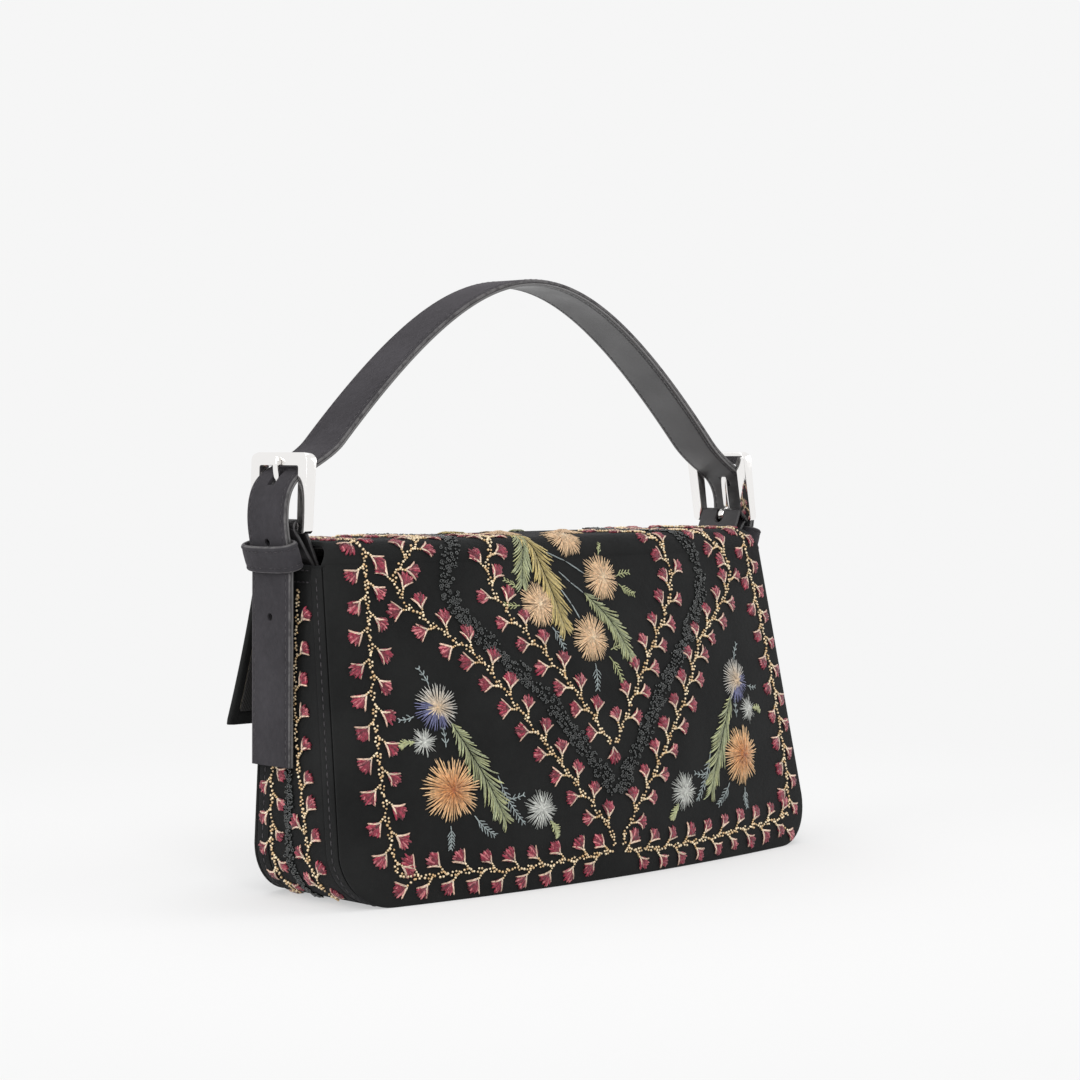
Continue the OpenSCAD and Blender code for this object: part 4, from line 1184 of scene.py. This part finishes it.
class Needlework:
    """Strokes and beads of one panel in its own flat coordinates, laid on it through its chart."""

    def __init__(self, chart, hand):
        self.chart, self.hand = chart, hand
        self.strokes = {}
        self.beads = {"gold": [], "jet_ring": [], "jet": []}

    def lay(self, kind, start, end, width, colour, tip=None, bend=0.0, rise=(0.12, 0.12), arch=0.45):
        """Adds strokes from start to end points. Colours run from start to tip, rise is the height of each end above
        the ground, arch the height of the middle over them, bend how far the middle leaves the straight line."""
        start, end = np.atleast_2d(start).astype(float), np.atleast_2d(end).astype(float)
        n = max(len(start), len(end))
        row = np.zeros((n, 15))
        row[:, 0:2], row[:, 2:4], row[:, 4], row[:, 5] = start, end, bend, width
        row[:, 6], row[:, 7], row[:, 8] = rise[0], rise[1], arch
        row[:, 9:12], row[:, 12:15] = colour, colour if tip is None else tip
        row[:, 9:] *= rng.uniform(0.78, 1.2, (n, 1))
        self.strokes.setdefault(kind, []).append(row)

    def bud(self, apex, direction, size=1.0):
        """Bud: a ragged fan of crimson strokes with a few pink ones over it, held by two cream sepals from its foot."""
        direction = unit(np.asarray(direction, float))
        size = size * rng.uniform(1.06, 1.2)
        n = 12
        angles = np.radians(np.linspace(-33, 33, n) + rng.uniform(-4, 4, n))
        ways = turned(np.tile(direction, (n, 1)), angles)
        reach = (5.8 - 1.1 * np.abs(np.linspace(-1, 1, n)) ** 2 + rng.uniform(-0.8, 0.5, n))[:, None] * size
        shade = np.where(rng.random((n, 1)) < 0.12, [ROSE], between(WINE, CRIMSON, n))
        self.lay("buds", apex + ways * 0.8 * size, apex + ways * reach, 0.9 * size, shade * 0.65,
                 np.clip(shade * 1.12, 0, 1), rise=(0.25, 0.15), arch=0.5)
        m = 6
        ways = np.tile(direction, (m, 1))
        at = apex + turned(ways, np.radians(rng.uniform(-26, 26, m))) * (rng.uniform(2.0, 4.2, (m, 1)) * size)
        to = at + turned(ways, np.radians(rng.uniform(-50, 50, m))) * 1.5 * size
        self.lay("buds", at, to, 0.55 * size, between(CRIMSON, ROSE, m), ROSE, rise=(0.55, 0.5), arch=0.2)
        for sign in (-1, 1):
            tip = apex + turned(direction, np.radians(sign * rng.uniform(35, 46))) * rng.uniform(4.3, 5.5) * size
            self.lay("sepals", apex - direction * 0.2, tip, rng.uniform(0.72, 1.0), CREAM, SEPAL_TIP,
                     bend=-sign * rng.uniform(0.3, 0.7), rise=(0.35, 0.2), arch=0.55)

    def vine(self, points, heading=1, first=0.3, pitch=BUD_PITCH, size=1.0, stop=0.0, flip=1, only=0):
        """Vine: a waving row of gold beads that swings to each bud by turns, and three beads to its foot. only keeps
        the buds of one side."""
        line, run = along(points, 0.4)
        tangent = unit(np.gradient(line, axis=0))
        lateral = turned(tangent, np.pi / 2) * flip

        def swing(r):
            return 0.8 * np.cos(2 * np.pi * (r / pitch - 0.5 * (0.5 + first)))

        r = np.arange(0, run[-1], BEAD_PITCH)
        r = r + rng.uniform(-0.22, 0.22, len(r))
        self.gold(at_run(r, run, line)
                  + at_run(r, run, lateral) * (swing(r) + rng.uniform(-0.2, 0.2, len(r)))[:, None])
        r = r[(rng.random(len(r)) < 0.9) & (np.abs(swing(r)) > 0.45)] + 0.6
        self.gold(at_run(r, run, line)
                  + at_run(r, run, lateral) * (rng.uniform(-0.2, 0.2, len(r)) - 0.75 * swing(r))[:, None], 0.92)
        for k in range(400):
            r_k = (k + 0.5 + first) * pitch / 2
            if r_k > run[-1] - stop:
                break
            away = 1 if k % 2 == 0 else -1
            if away == -only:
                continue
            p, t, n = (at_run(np.array([r_k]), run, values)[0] for values in (line, tangent, lateral))
            t, n = unit(t) * heading, unit(n) * away
            apex = p + n * rng.uniform(2.6, 3.1) + t * rng.uniform(0.2, 0.8)
            foot = p - t * 1.2 + n * 0.8
            self.gold(foot + (apex - foot) * np.linspace(0.12, 0.95, 3)[:, None], 0.92)
            self.bud(apex + t * 0.3, n * rng.uniform(0.62, 0.82) + t * rng.uniform(0.5, 0.72), size)

    def gold(self, points, size=1.0):
        """Gold beads at points, each of a slightly other size."""
        points = np.atleast_2d(points)
        self.beads["gold"].append(np.column_stack([points, BEAD_R * size * rng.uniform(0.84, 1.12, len(points))]))

    def jet_strand(self, points, width=3.7, share=0.95):
        """Band of jet: rings and small beads in a shaken net as wide as the band, some places left bare."""
        line, run = along(points, 0.4)
        lateral = turned(unit(np.gradient(line, axis=0)), np.pi / 2)
        r, v = np.meshgrid(np.arange(0.6, run[-1], 1.5), np.linspace(-1, 1, 6), indexing="ij")
        r, v = r.ravel(), v.ravel()
        r = r + rng.uniform(-0.5, 0.5, len(r)) + (v > 0) * 0.6
        shift = v * width * (0.85 + 0.15 * np.sin(r / 3.1)) + rng.uniform(-0.42, 0.42, len(r))
        kept = rng.random(len(r)) < share * (1 - 0.35 * np.abs(v))
        r, shift = r[kept], shift[kept]
        p, n = at_run(r, run, line), unit(at_run(r, run, lateral))
        p = p + n * shift[:, None]
        ring = rng.random(len(r)) < 0.62
        self.beads["jet_ring"].append(np.column_stack([p[ring], rng.uniform(0.74, 0.95, ring.sum())]))
        self.beads["jet"].append(np.column_stack([p[~ring], rng.uniform(0.45, 0.6, (~ring).sum())]))

    def flower(self, centre, radius, heart, middle, tip, petals=64, patch=None, lobes=0.06):
        """Flower of radiating strokes in four domed layers, the lowest with dark gaps at its ragged rim. Colours run
        from the heart to the tip; patch gives another colour to the rim on one side."""
        centre = np.asarray(centre, float)
        heart, middle, tip = (np.asarray(c, float) for c in (heart, middle, tip))
        layers = ((1.0, 0.14, 0.9, 1.05, 0.7, 0.12), (0.62, 0.08, 0.66, 0.84, 1.1, 0.35),
                  (0.42, 0.03, 0.38, 0.56, 1.45, 0.8), (0.24, 0.0, 0.15, 0.3, 1.7, 1.2))
        for k, (share, low, short, long, top, rim) in enumerate(layers):
            n = int(petals * share)
            a = 2 * np.pi * (np.arange(n) + rng.uniform(-0.32, 0.32, n)) / n + k
            out = np.stack([np.cos(a), np.sin(a)], -1)
            reach = radius * rng.uniform(short, long, n) * (1 + lobes * np.sin(7 * a + radius))
            fade = (0.0, 0.35, 0.75, 1.0)[k]
            start = between(middle * (1 - fade) + heart * fade,
                            middle * (0.6 - 0.6 * fade) + heart * (0.4 + 0.6 * fade), n)
            end = between(tip * (1 - fade) + middle * fade, tip * (1 - fade * 0.6) + middle * fade * 0.6, n)
            if patch is not None and k < 2:
                shade, towards = np.asarray(patch[0]), unit(np.asarray(patch[1], float))
                part = (smooth((out @ towards - 0.15) / 0.35) > rng.random(n))[:, None]
                start, end = np.where(part, shade * 1.5, start), np.where(part, between(shade, shade * 1.7, n), end)
            width = np.clip(radius * 0.06, 0.46, 0.76) * rng.uniform(0.75, 1.1, n) * (0.8 if k == 0 else 1)
            self.lay("flowers", centre + out * radius * low, centre + out * reach[:, None], width, start, end,
                     bend=rng.uniform(-0.25, 0.25, n), rise=(top * radius / 10 + 0.1, rim * radius / 10 + 0.1),
                     arch=0.3)

    def leaf(self, points, width, colour, tip, step=1.05, lobes=0.16):
        """Feathered leaf: strokes leave its rib to both sides, slanting to the tip, in groups that reach further;
        darker at the rib, with the ground showing between their ends."""
        line, run = along(points, 0.4)
        tangent = unit(np.gradient(line, axis=0))
        for sign in (-1, 1):
            r = np.arange(0.0, run[-1] * 0.93, step)
            r = r + rng.uniform(-0.2, 0.2, len(r))
            n = len(r)
            p, t = at_run(r, run, line), unit(at_run(r, run, tangent))
            part = np.clip(r / run[-1], 0, 1)
            reach = width * (0.45 + 0.62 * np.sin(np.pi * part**0.85)) \
                * (1 + lobes * np.sin(2 * np.pi * r / 9.5 + sign)) * rng.uniform(0.9, 1.12, n)
            slant = np.radians(34 - 10 * part + rng.uniform(-6, 6, n)) * sign
            foot = p + turned(t, np.pi / 2) * 0.15 * sign
            shade = between(colour, (np.asarray(colour) + tip) / 2, n)
            self.lay("leaves", foot, foot + turned(t, slant) * reach[:, None], rng.uniform(0.42, 0.68, n), shade,
                     between(tip, np.minimum(1, np.asarray(tip) * [1.35, 1.25, 0.95]), n), bend=-0.5 * sign,
                     rise=(0.45, 0.12), arch=0.45)

    def sprig(self, foot, direction, length, colour=SILVER, twigs=5, curl=0.0):
        """Sprig: a thin curved stem with short twigs that leave it by turns, shorter to the tip."""
        foot, direction = np.asarray(foot, float), unit(np.asarray(direction, float))
        side = turned(direction, np.pi / 2)
        share = np.linspace(0, 1, 5)[:, None]
        stem = foot + direction * length * share + side * curl * 4 * share * (1 - share)
        self.lay("sprigs", stem[:-1], stem[1:] + (stem[1:] - stem[:-1]) * 0.08, 0.5, colour, rise=(0.2, 0.2), arch=0.08)
        for k in range(twigs):
            at = 0.22 + 0.7 * k / max(1, twigs - 1)
            start = foot + direction * length * at + side * curl * 4 * at * (1 - at)
            for sign in (-1, 1):
                reach = min(3.4, length * 0.32) * (1.1 - 0.55 * at) * rng.uniform(0.85, 1.15)
                to = start + turned(direction, sign * np.radians(rng.uniform(32, 46))) * reach
                self.lay("sprigs", start, to, 0.45, colour, bend=0.12 * sign, rise=(0.2, 0.12), arch=0.18)

    def on_panel(self, flat, lift):
        """Points on the panel at a lift above it, with the panel's normal there by differences of its chart."""
        e = 0.05
        x, s = flat[..., 0], flat[..., 1]
        p = self.chart(x, s)
        dx = self.chart(x + e, s) - self.chart(x - e, s)
        ds = self.chart(x, s + e) - self.chart(x, s - e)
        normal = unit(np.cross(dx, ds)) * self.hand
        return p + normal * lift[..., None], normal, unit(dx)

    def build(self, label, part=None, **kind):
        """Makes the pieces of this panel. part chooses strokes and beads by the height of their middle."""
        t = STROKE_AT[None]
        plain = ((1, 1, 1), (1, 1, 1))
        for what, rows in self.strokes.items():
            row = np.concatenate(rows)
            if part:
                row = row[part((row[:, 1] + row[:, 3]) / 2)]
            if not len(row):
                continue
            a, b = row[:, None, 0:2], row[:, None, 2:4]
            hump = 4 * t * (1 - t)
            flat = a + (b - a) * t[..., None] + turned(unit(b - a), np.pi / 2) * (row[:, 4, None] * hump)[..., None]
            lift = row[:, 6, None] * (1 - t) + row[:, 7, None] * t + row[:, 8, None] * hump
            path, normal = self.on_panel(flat, lift)[:2]
            place(strokes(f"{label}_{what}", path, normal, row[:, 5], row[:, 5] * 0.8, row[:, 9:15]), THREAD, **kind)
        for what, form, material, colours in (("gold", bead_form(8, 5), GOLD, (BRONZE_BEAD, GOLD_BEAD)),
                                              ("jet", bead_form(7, 4), JET, plain),
                                              ("jet_ring", bead_form(9, 5, 0.34), JET, plain)):
            row = np.concatenate(self.beads[what] or [np.zeros((0, 3))])
            if part:
                row = row[part(row[:, 1])]
            if not len(row):
                continue
            p, normal, along_x = self.on_panel(row[:, :2], row[:, 2] * (0.55 if what == "jet_ring" else 0.85))
            if what == "jet_ring":
                normal = unit(normal + 0.3 * rng.standard_normal(normal.shape))
                along_x = unit(along_x - normal * (along_x * normal).sum(-1, keepdims=True))
            axes = np.stack([along_x, np.cross(normal, along_x), normal], 1)
            tint = between(*colours, len(row))
            place(beads(f"{label}_{what}_beads", form, p, axes, row[:, 2], tint), material, **kind)


def mirrored(m, points):
    """Flat points on the side m, which is -1 on the left and 1 on the right."""
    return [(m * x, s) for x, s in points]


def side_bouquet(work, m):
    """Bouquet of one side: a blue and a small white flower, a large orange one, a long leaf, a white flower, sprigs."""
    work.leaf(mirrored(m, [(79, 67), (72.5, 56), (64.5, 42), (57.5, 27)]), 9.6, SAGE, SAGE_TIP)
    work.flower((m * 82.2, 42), 12.8, RUST, ORANGE, PALE_ORANGE, 58)
    work.flower((m * 84.7, 73.3), 9.5, (0.85, 0.6, 0.36), (0.62, 0.5, 0.38), PEARL, 46,
                (VIOLET, (m * 0.62, -0.78)), 0.03)
    work.flower((m * 91.8, 60.6), 5.6, WHITE, WHITE, ASH, 30, None, 0.16)
    work.flower((m * 40.6, 31.2), 8.0, WHITE, WHITE, ASH, 44, None, 0.1)
    work.leaf(mirrored(m, [(95.5, 60.8), (98.5, 60.6), (101.5, 59.6)]), 3.0, LIME, SAGE_TIP, 0.7)
    work.leaf(mirrored(m, [(36.5, 26.5), (34.5, 24), (32.5, 20.5)]), 3.4, LIME, SAGE_TIP, 0.7)
    for x, s, dx, ds, length, curl in (
            (86.5, 82, 3.2, 5.5, 7.5, 0.4), (94.5, 70.5, 5, -0.8, 6.5, -0.5), (82.5, 58, 0.3, 6, 7.5, 0.2),
            (83.5, 28.5, 0.6, -6, 9, -0.5), (72.5, 31.5, -5, -4.5, 12.5, 0.8), (60.5, 46, -5, -8.5, 23, 1.4),
            (56, 36.5, -5, 0.8, 7.5, 0.4)):
        twigs = 3 if length < 9 else 6 if length < 20 else 9
        work.sprig((m * x, s), (m * dx, ds), length, SILVER, twigs, m * curl)


def top_bouquet(work):
    """Middle bouquet: peach flowers, an olive leaf between two grey-green ones, and sprigs."""
    work.leaf([(-28, 143), (-31, 134), (-33.5, 126), (-36, 117.5)], 8.2, SAGE, SAGE_TIP)
    work.leaf([(-4, 114), (4.5, 106), (11, 97.5), (16.8, 86)], 8.4, SAGE, SAGE_TIP)
    work.leaf([(-31, 144), (-25.5, 131), (-21, 115), (-17.6, 98)], 10.4, OLIVE, OLIVE_TIP, 0.86)
    for points in ([(-20, 131), (-10, 127), (-1, 121.5)], [(-15, 123), (-10, 118.5), (-4, 114)],
                   [(-16, 116), (-12, 110), (-9, 104)]):
        work.lay("sprigs", points[:-1], points[1:], 0.55, SILVER, rise=(0.2, 0.2), arch=0.1)
    for x, s, r in ((-6.8, 137.5, 9.2), (7.5, 119.7, 9.8), (-29.3, 110.3, 9.2), (-5, 96.2, 9.8), (13, 158, 9.2),
                    (-19, 162, 9.2)):
        work.flower((x, s), r, PEACH_TIP, SALMON, PEACH, 62, None, 0.05)
    for x, s, dx, ds, length, curl in (
            (9, 129, 2, 4, 5.5, 0.3), (16.5, 120, 5, 0.6, 8.5, 0.6), (-38, 117, -5, 3, 7, -0.4),
            (-38.5, 110.5, -5, 0.6, 7.5, 0.5), (17, 117, 5, -2.5, 9.5, -0.8), (3.5, 88.5, 2.6, -5, 13.5, 1),
            (5, 91, 5, 1, 7.5, 0.4)):
        work.sprig((x, s), (dx, ds), length, LIME, 4 if length < 9 else 6, curl)
    for x, s, dx, ds, length, curl in ((-24.5, 101.5, 2.2, -4.6, 10, 0.5), (-4.8, 86.2, -0.3, -5, 10.5, 0.4)):
        work.sprig((x, s), (dx, ds), length, SILVER, 5, curl)


back_work = Needlework(back_chart, 1)
back_work.vine([(-104.7, 171.7), (-105, 160), (-105.5, 138), (-107, 118), (-108.8, 97), (-110.4, 76), (-110.9, 56),
                (-110.8, 40), (-110, 27), (-108.6, 13)], first=0.25, stop=2)
back_work.vine([(109.4, 171.7), (110, 160), (111, 140), (110.5, 123), (112.6, 106), (115, 90), (116.6, 74),
                (117.6, 58), (118.2, 44), (118, 30), (116.5, 15)], first=0.75, stop=2, flip=-1)
back_work.vine([(-107, 12.2), (-98, 10.4), (-74, 10.6), (-57, 9.2), (-32, 9.8), (-3, 11.2)], heading=-1, first=0.6,
               stop=1)
back_work.vine([(115, 13.6), (100, 11.8), (78, 11.2), (55, 10), (30, 9.4), (3, 10.6)], heading=-1, first=0.2, stop=1,
               flip=-1)
for m in (-1, 1):
    back_work.vine(mirrored(m, [(60.8, 168.5), (66, 158), (72, 146), (84, 134), (94, 124), (91.5, 113.5),
                                (78.5, 102.5), (63.5, 92), (54, 79), (44, 66), (25, 43), (5, 20), (2.6, 13)]),
                   heading=-1, first=0.4, stop=9)
    back_work.vine(mirrored(m, [(35, 169.3), (38, 158), (43, 142), (50.5, 128), (50.5, 117), (44, 106), (34.5, 95.5),
                                (25.5, 85.5), (16, 73.5), (1.2, 53.5)]), heading=-1, first=0.4, stop=4)
    back_work.jet_strand(mirrored(m, [(51, 173), (56, 158), (62, 142), (70, 126), (71, 115), (64, 104), (52, 91.5),
                                      (36, 77), (20, 58), (1.2, 35)]))
    side_bouquet(back_work, m)
back_work.bud(np.array([0.0, 52.5]), (0, -1), 1.1)
for x, s, dx, ds in ((-104.5, 7.4, -1, -0.25), (113.5, 6.4, 0.9, -0.5)):
    back_work.bud((x, s), (dx, ds))
    back_work.gold(np.array([(x, s + 0.4), (x * 0.985, s + 1.4), (x * 0.97, s + 2.4)]))
top_bouquet(back_work)
LOW_EDGE = 126.5  # run up the back where its needlework passes to the shoulder
back_work.build("back", lambda s: s < LOW_EDGE, body="bag")
back_work.build("shoulder", lambda s: s >= LOW_EDGE, blend=SHOULDER_FOLD)

flap_work = Needlework(flap_chart, -1)
for m in (-1, 1):
    flap_work.vine(mirrored(m, [(104, 92), (105, 76), (106, 60), (107.5, 35), (108, 11)]), first=0.3, stop=2)
    flap_work.vine(mirrored(m, [(107, 9.6), (80, 9.4), (45, 9.8), (2, 10.2)]), heading=-1, first=0.6, stop=1)
    flap_work.vine(mirrored(m, [(66, 94), (74, 82), (84, 68), (76, 54), (58, 41), (32, 30), (4, 22)]), heading=-1,
                   first=0.4, stop=3)
    flap_work.jet_strand(mirrored(m, [(56, 94), (60, 80), (66, 66), (58, 56), (38, 46), (16, 38), (1.5, 34)]))
    flap_work.flower((m * 84, 31), 11.5, RUST, ORANGE, PALE_ORANGE, 64)
    flap_work.flower((m * 95, 56), 8, (0.85, 0.62, 0.4), (0.62, 0.5, 0.38), PEARL, 44,
                     (VIOLET, (m * 0.62, -0.78)), 0.03)
    flap_work.leaf(mirrored(m, [(80, 42), (70, 35), (60, 27), (52, 21)]), 7, SAGE, SAGE_TIP)
    for x, s, dx, ds, length in ((96, 64, 1, 5, 7), (88, 48, -3, 3, 7), (62, 21, -5, -1, 7)):
        flap_work.sprig((m * x, s), (m * dx, ds), length, SILVER, 3)
flap_work.leaf([(-23, 90), (-21, 79), (-18, 68), (-15, 55)], 9, OLIVE, OLIVE_TIP, 0.86)
flap_work.leaf([(14, 84), (20, 74), (24, 64), (27, 53)], 7.4, SAGE, SAGE_TIP)
for x, s, r in ((3, 68.5, 8.4), (-34, 66, 8.8), (6, 49, 9.4)):
    flap_work.flower((x, s), r, PEACH_TIP, SALMON, PEACH, 60, None, 0.05)
flap_work.build("hanging", blend=FLAP_FOLD)

END_RUN = SIDE_RUN + ARC_RUN
for side in (-1, 1):
    end_work = Needlework(gusset_chart(side), side)
    end_work.vine([(-7.8, -END_RUN + 7), (-8, -END_RUN + 18), (-6.4, -END_RUN * 0.76), (-3.9, -END_RUN * 0.66)],
                  first=0.2, size=0.98, stop=1)
    end_work.vine([(-3.7, -END_RUN * 0.65), (-0.8, -END_RUN * 0.5), (0.4, -END_RUN * 0.35), (-1, -END_RUN * 0.18),
                   (-2.4, -9)], first=0.6, size=0.92, stop=3, pitch=12.6, only=-side)
    end_work.vine([(12.6, -9), (13.4, -SIDE_RUN * 0.35), (14.6, -SIDE_RUN * 0.7), (15.4, -END_RUN + 20),
                   (14.8, -END_RUN + 7)], first=0.2, size=0.88, stop=2)
    end_work.jet_strand([(3.6, -9), (4.4, -SIDE_RUN * 0.5), (4.8, -SIDE_RUN), (4.4, -END_RUN + 7)], 2.3)
    end_work.build(f"{SIDE_NAME[side]}_end", body="bag")

# ---- floor, light and camera ----
BACKDROP, AMBIENT = 0.921, 0.62
FLOOR_NEAR, FLOOR_FAR = 0.16, 0.5  # metres from the middle between which the floor turns into plain backdrop


def seen_ray(tree):
    """One for rays that show the backdrop: from the camera, mirrored or passed through. Nothing for the others."""
    ray = put(tree, "ShaderNodeLightPath").outputs
    return calc(tree, "MAXIMUM", ray["Is Camera Ray"],
                calc(tree, "MAXIMUM", ray["Is Glossy Ray"], ray["Is Transmission Ray"]))


corners = 6000.0 * np.array([[-1, -1, 0], [1, -1, 0], [1, 1, 0], [-1, 1, 0]])
floor = new_object("floor", corners, [[[0, 1, 2, 3]]])
floor_mat = bpy.data.materials.new("pale_floor")
floor_mat.use_nodes = True
tree = floor_mat.node_tree
tree.nodes.clear()
reach = put(tree, "ShaderNodeVectorMath", {0: own_place(tree)}, operation="LENGTH").outputs["Value"]
far = spread(tree, reach, FLOOR_NEAR, FLOOR_FAR, 0.5, 1.0)
lit = put(tree, "ShaderNodeBsdfDiffuse", {"Color": grey(BACKDROP)}).outputs[0]
plain = put(tree, "ShaderNodeEmission", {"Color": grey(BACKDROP), "Strength": 1.0}).outputs[0]
shown = put(tree, "ShaderNodeMixShader", {0: times(tree, far, seen_ray(tree)), 1: lit, 2: plain}).outputs[0]
put(tree, "ShaderNodeOutputMaterial", {0: shown})
floor.data.materials.append(floor_mat)
floor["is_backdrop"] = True

world = bpy.data.worlds.new("studio")
bpy.context.scene.world = world
world.use_nodes = True
tree = world.node_tree
tree.nodes.clear()
strength = spread(tree, seen_ray(tree), 0.0, 1.0, AMBIENT, 1.0)
put(tree, "ShaderNodeOutputWorld", {0: put(tree, "ShaderNodeBackground", {0: grey(BACKDROP), 1: strength}).outputs[0]})


def area_light(name, place_at, target, size, power):
    """Square soft box that looks at a point."""
    data = bpy.data.lights.new(name, "AREA")
    data.energy, data.size = power, size
    obj = bpy.data.objects.new(name, data)
    obj.location = place_at
    obj.rotation_euler = (Vector(target) - Vector(place_at)).to_track_quat("-Z", "Y").to_euler()
    bpy.context.scene.collection.objects.link(obj)


for name, place_at, size, power in (("key_box", (-1.1, -1.5, 1.5), 1.2, 16), ("top_box", (0.3, 0.5, 1.9), 1.5, 12),
                                    ("left_box", (-1.9, 0.1, 0.7), 0.9, 10), ("right_box", (1.6, -0.9, 0.8), 1.0, 6)):
    area_light(name, place_at, (0, 0, 0.1), size, power)

AZIMUTH, ELEVATION, DISTANCE = math.radians(43.5), math.radians(2.052), 1.0795
TARGET = Vector((-0.00507, 0, 0.1349))
towards = Vector((-math.sin(AZIMUTH) * math.cos(ELEVATION), -math.cos(AZIMUTH) * math.cos(ELEVATION),
                  math.sin(ELEVATION)))
camera = bpy.data.objects.new("camera", bpy.data.cameras.new("camera"))
camera.data.sensor_width, camera.data.lens = 36.0, 87.76
camera.data.clip_start, camera.data.clip_end = 0.05, 50.0
camera.location = TARGET + towards * DISTANCE
camera.rotation_euler = (-towards).to_track_quat("-Z", "Y").to_euler()
bpy.context.scene.collection.objects.link(camera)
bpy.context.scene.camera = camera
bpy.context.scene.view_settings.view_transform = "Standard"

low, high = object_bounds()
